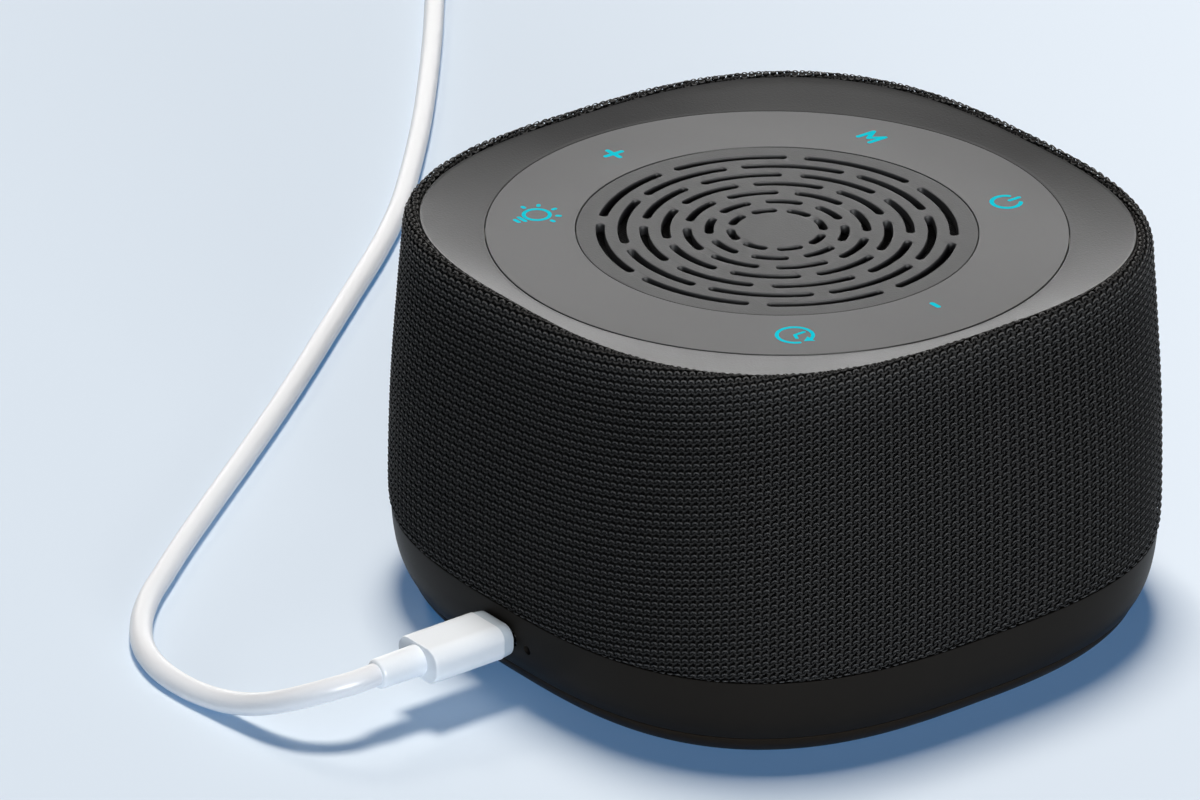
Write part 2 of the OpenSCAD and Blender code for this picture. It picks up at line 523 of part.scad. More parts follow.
// Strap round the bundle, on the side away from the loose end
module cable_tie() color([0.12, 0.12, 0.13]) translate([coil_c[0], coil_c[1], 0]) rotate(-60) translate([coil_mid, 2.5, 4.6])
    rotate([90, 0, 0]) linear_extrude(5) difference() {
        square([2 * coil_half + 1.6, 9.2], center = true);
        square([2 * coil_half + 0.6, 8.4], center = true);
    }

// ---- far plug ----

module at_far_plug() translate([coil_c[0] + tail[7][0], coil_c[1] + tail[7][1], 4]) rotate(tail_dir) children();
module box_along_x(x0, x1, w, h) translate([x0, -w / 2, -h / 2]) cube([x1 - x0, w, h]);
module usb_a_collar() color([0.92, 0.93, 0.94]) at_far_plug() rotate([0, 90, 0]) rotate_extrude($fn = 48)
    polygon([[0, 0], [2.4, 0], [2.9, 8], [0, 8]]);
module usb_a_overmold() color([0.93, 0.94, 0.95]) at_far_plug() difference() {
    rotate([90, 0, 90]) translate([0, 0, 8]) linear_extrude(21) {
        square([15.6 - 3, 7.8], center = true);
        square([15.6, 7.8 - 3], center = true);
        for (x = [-1, 1], y = [-1, 1]) translate([x * 6.3, y * 2.4]) circle(r = 1.5, $fn = 32);
    }
    box_along_x(25, 40, 12, 4.5);
}
module usb_a_shell() color([0.8, 0.8, 0.82]) at_far_plug() difference() {
    box_along_x(25, 41, 12, 4.5);
    box_along_x(29.5, 42, 11.4, 3.9);
    for (y = [-3, 3]) translate([36, y - 1.2, 1]) cube([2.4, 2.4, 3]);
}
module usb_a_tongue() color([0.93, 0.93, 0.95]) at_far_plug() box_along_x(29.5, 40.6, 11.4, 1.9 - 0.02);

fabric_cover();
side_shell();
top_panel();
touch_ring();
touch_icons();
speaker_grille();
grille_cloth();
touch_board();
touch_electrodes();
key_leds();
light_ring();
night_leds();
speaker_gasket();
speaker_basket();
cone_surround();
speaker_cone();
dust_cap();
voice_coil();
spider();
front_pole_plate();
speaker_magnet();
back_pole_plate();
speaker_terminals();
speaker_screws();
base_housing();
bottom_cover();
foot_ring();
cover_screws();
shell_screws();
panel_screws();
main_board();
board_parts();
usb_socket();
board_screws();
indicator_light();
battery_cell();
battery_cradle();
battery_lead();
speaker_lead();
touch_ribbon();
plug_shell();
plug_overmold();
plug_collar();
cable_tube();
cable_coil();
cable_tail();
cable_tie();
usb_a_collar();
usb_a_overmold();
usb_a_shell();
usb_a_tongue();
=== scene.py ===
"""White noise sound machine: the looks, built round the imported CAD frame. Metres, +Z up, USB-C port on the -Y face."""
import json
import math

import bmesh
import bpy
import numpy as np
from mathutils import Matrix, Vector
from mathutils.geometry import delaunay_2d_cdt

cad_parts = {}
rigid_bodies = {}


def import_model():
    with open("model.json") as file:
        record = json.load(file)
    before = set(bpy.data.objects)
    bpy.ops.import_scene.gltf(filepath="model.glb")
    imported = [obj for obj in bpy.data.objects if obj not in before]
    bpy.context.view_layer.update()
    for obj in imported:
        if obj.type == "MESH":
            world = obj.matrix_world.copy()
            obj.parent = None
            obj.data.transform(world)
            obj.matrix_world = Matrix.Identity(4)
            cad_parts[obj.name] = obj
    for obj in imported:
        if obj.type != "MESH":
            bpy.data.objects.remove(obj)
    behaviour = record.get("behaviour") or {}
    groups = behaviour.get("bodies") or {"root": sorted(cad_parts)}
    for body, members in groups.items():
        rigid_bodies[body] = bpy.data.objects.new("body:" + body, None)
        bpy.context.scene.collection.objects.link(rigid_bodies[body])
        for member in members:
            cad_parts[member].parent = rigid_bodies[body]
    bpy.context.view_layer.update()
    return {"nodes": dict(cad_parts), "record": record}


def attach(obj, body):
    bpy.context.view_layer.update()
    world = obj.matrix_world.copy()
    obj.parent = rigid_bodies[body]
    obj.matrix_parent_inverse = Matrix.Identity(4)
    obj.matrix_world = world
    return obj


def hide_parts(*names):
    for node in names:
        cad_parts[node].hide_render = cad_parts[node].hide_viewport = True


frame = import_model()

MM = 0.001
EXP = 2.8  # exponent of the squircle outline
SC = bpy.context.scene


# ---------------------------------------------------------------- camera
def make_camera():
    az, el, roll = math.radians(52.0392), math.radians(25.7494), math.radians(0.2042)
    back = Vector((math.sin(az) * math.cos(el), -math.cos(az) * math.cos(el), math.sin(el)))
    right = Vector((math.cos(az), math.sin(az), 0.0))
    up = back.cross(right)
    x = right * math.cos(roll) + up * math.sin(roll)
    y = -right * math.sin(roll) + up * math.cos(roll)
    data = bpy.data.cameras.new("camera")
    data.sensor_fit, data.sensor_width, data.lens = "HORIZONTAL", 36.0, 266.23
    data.clip_start, data.clip_end = 0.05, 20
    cam = bpy.data.objects.new("camera", data)
    SC.collection.objects.link(cam)
    m = Matrix((x, y, back)).transposed().to_4x4()
    m.translation = Vector((1.06864, -0.87200, 0.70258))
    cam.matrix_world = m
    SC.camera = cam
    return cam, x, y, back


CAM, CX, CY, CB = make_camera()


# ---------------------------------------------------------------- node helpers
class Mat:
    """A small builder for node materials."""

    def __init__(self, name):
        self.m = bpy.data.materials.new(name)
        self.m.use_nodes = True
        self.t = self.m.node_tree
        self.t.nodes.clear()
        self.out = self.t.nodes.new("ShaderNodeOutputMaterial")
        self.b = self.t.nodes.new("ShaderNodeBsdfPrincipled")
        self.t.links.new(self.b.outputs[0], self.out.inputs["Surface"])
        self._obj = None

    def put(self, sock, v):
        if isinstance(v, bpy.types.NodeSocket):
            self.t.links.new(v, sock)
        elif hasattr(v, "__len__") and len(v) == 3 and sock.type == "RGBA":
            sock.default_value = (*v, 1.0)
        else:
            sock.default_value = v

    def set(self, **kw):
        for k, v in kw.items():
            self.put(self.b.inputs[k.replace("_", " ")], v)
        return self

    def obj(self):
        if self._obj is None:
            self._obj = self.t.nodes.new("ShaderNodeTexCoord").outputs["Object"]
        return self._obj

    def uv(self, name):
        n = self.t.nodes.new("ShaderNodeUVMap")
        n.uv_map = name
        return n.outputs[0]

    def sep(self, v):
        n = self.t.nodes.new("ShaderNodeSeparateXYZ")
        self.put(n.inputs[0], v)
        return n.outputs

    def comb(self, x, y, z):
        n = self.t.nodes.new("ShaderNodeCombineXYZ")
        for i, v in enumerate((x, y, z)):
            self.put(n.inputs[i], v)
        return n.outputs[0]

    def math(self, op, a, b=None, c=None, clamp=False):
        n = self.t.nodes.new("ShaderNodeMath")
        n.operation, n.use_clamp = op, clamp
        for i, v in enumerate((a, b, c)):
            if v is not None:
                self.put(n.inputs[i], v)
        return n.outputs[0]

    def vmath(self, op, a, b=None, scale=None):
        n = self.t.nodes.new("ShaderNodeVectorMath")
        n.operation = op
        self.put(n.inputs[0], a)
        if b is not None:
            self.put(n.inputs[1], b)
        if scale is not None:
            self.put(n.inputs["Scale"], scale)
        return n.outputs["Value"] if op in ("LENGTH", "DOT_PRODUCT", "DISTANCE") else n.outputs[0]

    def noise(self, vec, scale, detail=3.0, rough=0.5, distortion=0.0):
        n = self.t.nodes.new("ShaderNodeTexNoise")
        self.put(n.inputs["Vector"], vec)
        n.inputs["Scale"].default_value = scale
        n.inputs["Detail"].default_value = detail
        n.inputs["Roughness"].default_value = rough
        n.inputs["Distortion"].default_value = distortion
        return n.outputs[0]

    def voronoi(self, vec, scale, feature="F1", out="Distance"):
        n = self.t.nodes.new("ShaderNodeTexVoronoi")
        n.feature = feature
        self.put(n.inputs["Vector"], vec)
        n.inputs["Scale"].default_value = scale
        return n.outputs[out]

    def wave(self, vec, scale, direction="X", distortion=0.0, kind="BANDS"):
        n = self.t.nodes.new("ShaderNodeTexWave")
        n.wave_type = kind
        if kind == "BANDS":
            n.bands_direction = direction
        else:
            n.rings_direction = direction
        self.put(n.inputs["Vector"], vec)
        n.inputs["Scale"].default_value = scale
        n.inputs["Distortion"].default_value = distortion
        return n.outputs["Fac"]

    def ramp(self, fac, lo, hi, a=0.0, b=1.0, kind="LINEAR"):
        n = self.t.nodes.new("ShaderNodeMapRange")
        n.interpolation_type = kind
        n.clamp = True
        for i, v in enumerate((fac, lo, hi, a, b)):
            self.put(n.inputs[i], v)
        return n.outputs[0]

    def mix(self, fac, a, b, blend="MIX"):
        n = self.t.nodes.new("ShaderNodeMix")
        n.data_type, n.blend_type = "RGBA", blend
        self.put(n.inputs[0], fac)
        self.put(n.inputs[6], a if isinstance(a, bpy.types.NodeSocket) or len(a) == 4 else (*a, 1.0))
        self.put(n.inputs[7], b if isinstance(b, bpy.types.NodeSocket) or len(b) == 4 else (*b, 1.0))
        return n.outputs[2]

    def bump(self, height, distance, strength=1.0, normal=None):
        n = self.t.nodes.new("ShaderNodeBump")
        n.inputs["Strength"].default_value = strength
        n.inputs["Distance"].default_value = distance
        self.put(n.inputs["Height"], height)
        if normal is not None:
            self.put(n.inputs["Normal"], normal)
        return n.outputs[0]


def scaled(c, k):
    return tuple(min(1.0, x * k) for x in c)


def plastic(name, col, rough=0.45, grain=0.25, depth=0.012, var=0.05, spec=0.5, mottle=0.0, coat=0.0):
    """Moulded plastic: fine spark texture of grain mm and depth mm, faint cloudiness in colour and gloss."""
    m = Mat(name)
    p = m.obj()
    fine = m.noise(p, 1.0 / (grain * MM), 2.0, 0.6)
    pits = m.voronoi(p, 0.7 / (grain * MM), "SMOOTH_F1")
    cloud = m.noise(p, 38.0, 3.0, 0.55)
    f = m.math("ADD", m.math("MULTIPLY", m.ramp(cloud, 0.3, 0.7), 0.6), m.math("MULTIPLY", m.ramp(fine, 0.3, 0.7), 0.4))
    m.set(Base_Color=m.mix(f, scaled(col, 1 - var), scaled(col, 1 + var)))
    m.set(Roughness=m.ramp(m.math("ADD", m.math("MULTIPLY", cloud, 0.5), m.math("MULTIPLY", fine, 0.5)), 0.3, 0.7, rough - 0.05, rough + 0.05))
    h = m.math("ADD", fine, m.math("MULTIPLY", pits, 0.6))
    m.set(Normal=m.bump(h, depth * MM))
    m.b.inputs["Specular IOR Level"].default_value = spec
    if coat:
        m.b.inputs["Coat Weight"].default_value = coat
        m.b.inputs["Coat Roughness"].default_value = 0.2
    return m


def rubber(name, col, rough=0.6):
    m = plastic(name, col, rough, 0.12, 0.01, 0.1, 0.35)
    return m


def metal(name, col, rough=0.3, stretch=(1, 1, 30), scale=2500, depth=0.004):
    m = Mat(name)
    p = m.vmath("MULTIPLY", m.obj(), tuple(1.0 / s for s in stretch))
    fine = m.noise(p, scale, 3.0, 0.6)
    cloud = m.noise(m.obj(), 120.0, 3.0)
    m.set(Base_Color=m.mix(m.ramp(cloud, 0.3, 0.7), scaled(col, 0.9), scaled(col, 1.08)))
    m.set(Roughness=m.ramp(fine, 0.3, 0.7, rough - 0.07, rough + 0.09))
    m.set(Normal=m.bump(fine, depth * MM))
    m.b.inputs["Metallic"].default_value = 1.0
    return m


def board(name):
    m = Mat(name)
    p = m.obj()
    x, y, z = m.sep(p)
    cell = m.voronoi(m.comb(m.math("SNAP", x, 0.0011), m.math("SNAP", y, 0.0009), 0.0), 420.0, "F1", "Color")
    cr = m.sep(cell)
    lines = m.math("GREATER_THAN", m.wave(m.comb(x, m.math("ADD", y, m.math("MULTIPLY", cr[0], 0.004)), 0.0), 330.0, "Y"), 0.62)
    pads = m.math("LESS_THAN", m.voronoi(m.comb(x, y, 0.0), 260.0), 0.16)
    base = m.mix(lines, (0.006, 0.07, 0.028), (0.012, 0.13, 0.05))
    base = m.mix(pads, base, (0.55, 0.5, 0.36))
    m.set(Base_Color=base, Roughness=m.ramp(m.noise(p, 900.0), 0.3, 0.7, 0.26, 0.38))
    m.set(Normal=m.bump(m.math("ADD", lines, pads), 0.03 * MM))
    return m


def winding(name, col, pitch=0.28):
    m = Mat(name)
    x, y, z = m.sep(m.obj())
    tooth = m.math("ABSOLUTE", m.math("SINE", m.math("MULTIPLY", z, math.pi / (pitch * MM))))
    n = m.noise(m.obj(), 900.0)
    # painted shade: the colour darkens in the grooves between the turns
    m.set(Base_Color=m.mix(m.ramp(tooth, 0.0, 0.7), scaled(col, 0.35), m.mix(n, scaled(col, 0.9), scaled(col, 1.1))))
    m.b.inputs["Metallic"].default_value = 0.85
    m.set(Roughness=m.ramp(n, 0.3, 0.7, 0.26, 0.4), Normal=m.bump(tooth, 0.06 * MM))
    return m


def cloth(name, col, pitch=0.5, depth=0.08, rough=0.85):
    """Plain weave seen from above or the side: two crossed waves."""
    m = Mat(name)
    x, y, z = m.sep(m.obj())
    k = math.pi / (pitch * MM)
    a = m.math("ABSOLUTE", m.math("SINE", m.math("MULTIPLY", m.math("ADD", x, z), k)))
    b = m.math("ABSOLUTE", m.math("SINE", m.math("MULTIPLY", m.math("ADD", y, z), k)))
    h = m.math("MAXIMUM", a, b)
    n = m.noise(m.obj(), 2600.0, 2.0)
    # partly painted shade: darker in the hollows between the threads, and darker at random where the noise is low
    m.set(Base_Color=m.mix(m.ramp(m.math("MULTIPLY", h, n), 0.2, 0.55), scaled(col, 0.45), scaled(col, 1.25)))
    m.set(Roughness=m.ramp(n, 0.3, 0.7, rough - 0.06, rough + 0.06), Normal=m.bump(h, depth * MM))
    return m


# ---------------------------------------------------------------- mesh helpers
def make_mesh(name, verts, faces, uvs=None, normals=None, smooth=True):
    """verts (n,3) in metres; faces (m,k), all the same length; uvs {name: (n,2)} by vertex."""
    me = bpy.data.meshes.new(name)
    verts = np.ascontiguousarray(verts, np.float32)
    faces = np.ascontiguousarray(faces, np.int32)
    k = faces.shape[1]
    me.vertices.add(len(verts))
    me.vertices.foreach_set("co", verts.ravel())
    me.loops.add(faces.size)
    me.loops.foreach_set("vertex_index", faces.ravel())
    me.polygons.add(len(faces))
    me.polygons.foreach_set("loop_start", np.arange(len(faces), dtype=np.int32) * k)
    me.update(calc_edges=True)
    me.polygons.foreach_set("use_smooth", np.full(len(faces), smooth))
    for n, uv in (uvs or {}).items():
        layer = me.uv_layers.new(name=n)
        layer.data.foreach_set("uv", np.ascontiguousarray(uv[faces.ravel()], np.float32).ravel())
    if normals is not None:
        me.normals_split_custom_set_from_vertices([tuple(v) for v in normals])
    me.validate()
    return me


def add(name, me, body, mat=None, replaces=()):
    o = bpy.data.objects.new(name, me)
    SC.collection.objects.link(o)
    if mat is not None:
        me.materials.clear()
        me.materials.append(mat.m)
    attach(o, body)
    if replaces:
        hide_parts(*replaces)
    return o


def grid_faces(rows, cols, close_u=True, close_v=False):
    """Quads of a rows x cols grid of vertices, u along a row."""
    r = np.arange(rows if close_v else rows - 1)
    c = np.arange(cols if close_u else cols - 1)
    R, C = np.meshgrid(r, c, indexing="ij")
    R2, C2 = (R + 1) % rows, (C + 1) % cols
    return np.stack([R * cols + C, R * cols + C2, R2 * cols + C2, R2 * cols + C], -1).reshape(-1, 4)


def sq(th):
    return (np.abs(np.cos(th)) ** EXP + np.abs(np.sin(th)) ** EXP) ** (-1 / EXP)


def even_thetas(n, offset=0.0):
    """n angles at even spacing along the squircle, starting at angle offset."""
    t = np.linspace(0, 2 * np.pi, 20001) + offset
    d = sq(t)
    x, y = d * np.cos(t), d * np.sin(t)
    s = np.concatenate([[0], np.cumsum(np.hypot(np.diff(x), np.diff(y)))])
    return np.interp(np.linspace(0, s[-1], n + 1)[:-1], s, t), s[-1]


def smooth_profile(pts, step):
    """Points along a centripetal Catmull-Rom curve through pts, about step apart."""
    p = np.array(pts, float)
    ext = np.vstack([2 * p[0] - p[1], p, 2 * p[-1] - p[-2]])
    out = []
    for i in range(len(p) - 1):
        p0, p1, p2, p3 = ext[i : i + 4]
        t0 = 0.0
        t1 = t0 + max(1e-9, np.linalg.norm(p1 - p0)) ** 0.5
        t2 = t1 + max(1e-9, np.linalg.norm(p2 - p1)) ** 0.5
        t3 = t2 + max(1e-9, np.linalg.norm(p3 - p2)) ** 0.5
        for t in np.linspace(t1, t2, 24, endpoint=False):
            a1 = (t1 - t) / (t1 - t0) * p0 + (t - t0) / (t1 - t0) * p1
            a2 = (t2 - t) / (t2 - t1) * p1 + (t - t1) / (t2 - t1) * p2
            a3 = (t3 - t) / (t3 - t2) * p2 + (t - t2) / (t3 - t2) * p3
            b1 = (t2 - t) / (t2 - t0) * a1 + (t - t0) / (t2 - t0) * a2
            b2 = (t3 - t) / (t3 - t1) * a2 + (t - t1) / (t3 - t1) * a3
            out.append((t2 - t) / (t2 - t1) * b1 + (t - t1) / (t2 - t1) * b2)
    out.append(p[-1])
    out = np.array(out)
    s = np.concatenate([[0], np.cumsum(np.linalg.norm(np.diff(out, axis=0), axis=1))])
    if step is None:
        return out, s
    at = np.linspace(0, s[-1], max(2, int(round(s[-1] / step)) + 1))
    return np.stack([np.interp(at, s, out[:, k]) for k in range(out.shape[1])], 1)


def filleted(pts, radii, seg=5):
    """A closed outline with its corners rounded. radii: one number or one per corner."""
    p = [np.array(q, float) for q in pts]
    n = len(p)
    if not hasattr(radii, "__len__"):
        radii = [radii] * n
    out = []
    for i in range(n):
        a, b, c, r = p[i - 1], p[i], p[(i + 1) % n], radii[i]
        u, v = (a - b) / np.linalg.norm(a - b), (c - b) / np.linalg.norm(c - b)
        ang = math.acos(max(-1, min(1, float(u @ v))))
        if r <= 0 or ang > math.pi - 0.02:
            out.append(b)
            continue
        t = min(r / math.tan(ang / 2), 0.45 * np.linalg.norm(a - b), 0.45 * np.linalg.norm(c - b))
        r = t * math.tan(ang / 2)
        mid = (u + v) / np.linalg.norm(u + v)
        o = b + mid * (r / math.sin(ang / 2))
        s0, s1 = b + u * t - o, b + v * t - o
        full = math.acos(max(-1, min(1, float(s0 @ s1) / (r * r))))
        for k in range(seg + 1):
            w = k / seg
            q = (math.sin((1 - w) * full) * s0 + math.sin(w * full) * s1) / math.sin(full)
            out.append(o + q)
    return np.array(out)


def ring_points(t, r, a, z, th):
    d = (1 - t) * r + t * a * sq(th)
    return np.stack([d * np.cos(th), d * np.sin(th), np.full_like(th, z)], 1) * MM


def loft(rings, th):
    """(rows, cols, 3) of rings given as (t, r, a, z) in mm."""
    return np.stack([ring_points(*q, th) for q in rings])


def closed_loft(name, rings, th):
    P = loft(rings, th)
    rows, cols = P.shape[:2]
    f = grid_faces(rows, cols, True, True)
    return make_mesh(name, P.reshape(-1, 3), f)


def revolve(name, prof, n=256):
    """A closed outline [(r, z)] in mm turned about Z. Outline points on the axis share one vertex."""
    th = np.linspace(0, 2 * np.pi, n + 1)[:-1]
    bm = bmesh.new()
    cols = []
    for r, z in prof:
        if r < 1e-6:
            cols.append([bm.verts.new((0, 0, z * MM))] * n)
        else:
            cols.append([bm.verts.new((r * MM * math.cos(t), r * MM * math.sin(t), z * MM)) for t in th])
    for i in range(len(cols)):
        a, b = cols[i], cols[(i + 1) % len(cols)]
        for j in range(n):
            q = []
            for v in (a[j], a[(j + 1) % n], b[(j + 1) % n], b[j]):
                if v not in q:
                    q.append(v)
            if len(q) > 2:
                bm.faces.new(q)
    bmesh.ops.recalc_face_normals(bm, faces=bm.faces)
    me = bpy.data.meshes.new(name)
    bm.to_mesh(me)
    bm.free()
    me.polygons.foreach_set("use_smooth", [True] * len(me.polygons))
    return me


def sharpen(me, degrees=35):
    """Smooth faces with sharp edges where they turn by more than that."""
    bm = bmesh.new()
    bm.from_mesh(me)
    lim = math.radians(degrees)
    for e in bm.edges:
        e.smooth = not (len(e.link_faces) == 2 and e.calc_face_angle(0) > lim)
    for f in bm.faces:
        f.smooth = True
    bm.to_mesh(me)
    bm.free()
    return me


def weighted(o):
    w = o.modifiers.new("normals", "WEIGHTED_NORMAL")
    w.keep_sharp, w.weight, w.mode = True, 80, "FACE_AREA"
    return o


def baked(o):
    """The object's mesh with its modifiers applied."""
    dg = bpy.context.evaluated_depsgraph_get()
    me = bpy.data.meshes.new_from_object(o.evaluated_get(dg))
    old = o.data
    o.modifiers.clear()
    o.data = me
    me.name = old.name + "_m"
    return o


def cut(o, cutters):
    """Takes the cutter meshes out of o."""
    for i, me in enumerate(cutters):
        c = bpy.data.objects.new("cutter", me)
        SC.collection.objects.link(c)
        b = o.modifiers.new("cut", "BOOLEAN")
        b.operation, b.solver, b.object = "DIFFERENCE", "EXACT", c
    bpy.context.view_layer.update()
    baked(o)
    for c in [x for x in SC.objects if x.name.startswith("cutter")]:
        bpy.data.objects.remove(c)
    return o


def recalc(me):
    bm = bmesh.new()
    bm.from_mesh(me)
    bmesh.ops.recalc_face_normals(bm, faces=bm.faces)
    bm.to_mesh(me)
    bm.free()
    return me


def tube_sections(name, sections, caps=True):
    """A closed solid through rings of points (rows, cols, 3) in mm; each end is closed by a fan of quads and a point."""
    P = np.array(sections, float) * MM
    rows, cols = P.shape[:2]
    V = P.reshape(-1, 3)
    f = [tuple(q) for q in grid_faces(rows, cols, True, False)]
    bm = bmesh.new()
    vs = [bm.verts.new(v) for v in V]
    for q in f:
        bm.faces.new([vs[i] for i in q])
    if caps:
        for row in (0, rows - 1):
            c = bm.verts.new(P[row].mean(0))
            for j in range(cols):
                bm.faces.new([vs[row * cols + j], vs[row * cols + (j + 1) % cols], c])
    bmesh.ops.recalc_face_normals(bm, faces=bm.faces)
    me = bpy.data.meshes.new(name)
    bm.to_mesh(me)
    bm.free()
    me.polygons.foreach_set("use_smooth", [True] * len(me.polygons))
    return me


# ---------------------------------------------------------------- cord (first, as its route decides the framing)
ROUTE = [
    [0, -86, 11.5], [0, -90, 11.4], [-1.5, -94, 10.7], [-4.5, -97.5, 9.2], [-9, -100, 7], [-15, -101.5, 4.6],
    [-22, -102.6, 2.8], [-30, -103.5, 2], [-38, -103.4, 2], [-46.5, -101, 2], [-54.5, -96, 2], [-61, -90, 2],
    [-68, -81.5, 2], [-75.5, -72, 2], [-84.5, -60, 2], [-94.5, -46.5, 2], [-105, -32.5, 2], [-117, -17, 2],
    [-129, -2, 2], [-141, 13, 2], [-153.5, 28.5, 2], [-166, 42.5, 2], [-180, 56, 2], [-195.5, 70, 2],
    [-212, 84, 2], [-228.5, 97.5, 2], [-245, 110.5, 2], [-258, 121, 2.2], [-272, 132, 2.5], [-285.6, 143, 2.6],
]
COIL = np.array([-302.0, 122.0])
TAIL = [
    [13.8, 22, 6.7], [8.8, 25.4, 6.65], [2.2, 28, 6.3], [-6, 28.6, 5.6], [-14.5, 26.8, 4.8], [-22.6, 22.6, 4.2],
    [-29.5, 16.4, 4], [-34.8, 9, 4],
]
TAIL_DIR = math.radians(238)


def coil_points():
    out, step = [], 22.5
    th = step
    while th < 1446 - 1:
        phi = math.radians(52 + th)
        if th <= 720:
            r, z = 26.6 - 4.1 * th / 360, 2.6
        elif th <= 780:
            w = (th - 720) / 60
            r, z = 18.4, 2.6 + 4.1 * (3 * w * w - 2 * w * w * w)
        else:
            r, z = 18.4 + 4.1 * (th - 780) / 360, 6.7
        out.append([COIL[0] + r * math.cos(phi), COIL[1] + r * math.sin(phi), z])
        th += step
    return out


def cord_points():
    tail = [[COIL[0] + p[0], COIL[1] + p[1], p[2]] for p in TAIL]
    return np.array(ROUTE + coil_points() + tail)


def make_cord(mat):
    p = cord_points() * MM
    cu = bpy.data.curves.new("lead_cord", "CURVE")
    cu.dimensions, cu.resolution_u = "3D", 6
    cu.bevel_depth, cu.bevel_resolution, cu.use_fill_caps = 2.0 * MM, 7, True
    s = cu.splines.new("BEZIER")
    s.bezier_points.add(len(p) - 1)
    n = len(p)
    for i, b in enumerate(s.bezier_points):
        if i == 0:
            t = Vector((0, -1, 0)) * float(np.linalg.norm(p[1] - p[0]))
        elif i == n - 1:
            t = Vector((math.cos(TAIL_DIR), math.sin(TAIL_DIR), 0)) * float(np.linalg.norm(p[-1] - p[-2]))
        else:
            d0, d1 = np.linalg.norm(p[i] - p[i - 1]), np.linalg.norm(p[i + 1] - p[i])
            v = ((p[i + 1] - p[i]) / d1 * d0 + (p[i] - p[i - 1]) / d0 * d1) / (d0 + d1)
            t = Vector(v) / max(1e-9, Vector(v).length)
        b.co = p[i]
        b.handle_left_type = b.handle_right_type = "FREE"
        lb = np.linalg.norm(p[i] - p[i - 1]) if i else 0
        lf = np.linalg.norm(p[i + 1] - p[i]) if i < n - 1 else 0
        tn = Vector(t).normalized()
        b.handle_left = Vector(p[i]) - tn * (lb / 3)
        b.handle_right = Vector(p[i]) + tn * (lf / 3)
    o = bpy.data.objects.new("lead_cord", cu)
    SC.collection.objects.link(o)
    cu.materials.append(mat.m)
    return o


# ---------------------------------------------------------------- materials
def knit_material():
    """Black knitting yarn: two plies twisted round each other, fine fibres along them, each course a little different."""
    m = Mat("knit_black")
    x, y, _ = m.sep(m.uv("yarn"))
    course = m.math("FLOOR", y)
    across = m.math("FRACT", y)
    ply = m.math("SINE", m.math("ADD", m.math("MULTIPLY", x, 2 * math.pi / 0.62), m.math("MULTIPLY", across, 4.4)))
    fib = m.noise(m.comb(m.math("MULTIPLY", x, 0.9), m.math("MULTIPLY", across, 4.0), course), 2.3, 3.0, 0.65)
    tone = m.noise(m.comb(m.math("MULTIPLY", x, 0.05), m.math("MULTIPLY", course, 3.7), 0.0), 1.0, 2.0, 0.5)
    # painted highlight and shade: lighter on the ply crests, darker in the groove between the plies; the fibre and
    # course noise is the yarn's own tone
    f = m.math("ADD", m.math("MULTIPLY", m.ramp(ply, -1.0, 1.0), 0.35), m.math("ADD", m.math("MULTIPLY", m.ramp(fib, 0.25, 0.75), 0.45), m.math("MULTIPLY", m.ramp(tone, 0.3, 0.7), 0.2)))
    # painted shade: the yarn's colour is darker on its sides and where it dives under its neighbours, lighter where it
    # stands proud
    proud, out, _ = m.sep(m.uv("lay"))
    lit = m.math("MULTIPLY", m.ramp(proud, 0.12, 0.9, 0.07, 1.0), m.ramp(out, 0.1, 0.9, 0.25, 1.0))
    # painted light: the yarn's colour is made lighter towards the top, where it is pulled over the top edge
    _, _, z = m.sep(m.obj())
    light = m.mix(m.ramp(z, 0.062, 0.0705), YARN_LIGHT, YARN_ROLL_PAINTED_LIGHT)
    m.set(Base_Color=m.mix(m.math("MULTIPLY", lit, m.ramp(f, 0.0, 1.0, 0.45, 1.0)), YARN_DARK, light))
    m.set(Roughness=m.ramp(fib, 0.3, 0.7, 0.46, 0.62))
    m.put(m.b.inputs["Sheen Weight"], m.math("MULTIPLY", lit, 0.1))
    m.b.inputs["Sheen Roughness"].default_value = 0.35
    m.set(Normal=m.bump(m.math("ADD", m.math("MULTIPLY", ply, 0.5), fib), 0.05 * MM))
    m.put(m.b.inputs["Specular IOR Level"], m.math("MULTIPLY", lit, 0.32))
    return m


# YARN_DARK is the painted shade on the yarn's sides and where it dives under; YARN_LIGHT is the yarn's own colour
# the roll colour is painted light on the yarn near the top edge
YARN_DARK, YARN_LIGHT, YARN_ROLL_PAINTED_LIGHT = (0.0006, 0.0006, 0.0006), (0.058, 0.0575, 0.0567), (0.110, 0.109, 0.107)


def symbol_material():
    m = Mat("symbol_cyan")
    n = m.noise(m.obj(), 1500.0, 2.0)
    c = m.mix(m.ramp(n, 0.3, 0.7), (0.0040, 0.252, 0.308), (0.0044, 0.27, 0.328))
    m.set(Base_Color=c, Emission_Color=c, Roughness=m.ramp(n, 0.3, 0.7, 0.32, 0.42))
    m.b.inputs["Emission Strength"].default_value = 1.0
    m.b.inputs["Specular IOR Level"].default_value = 0.0
    return m


MT = {}


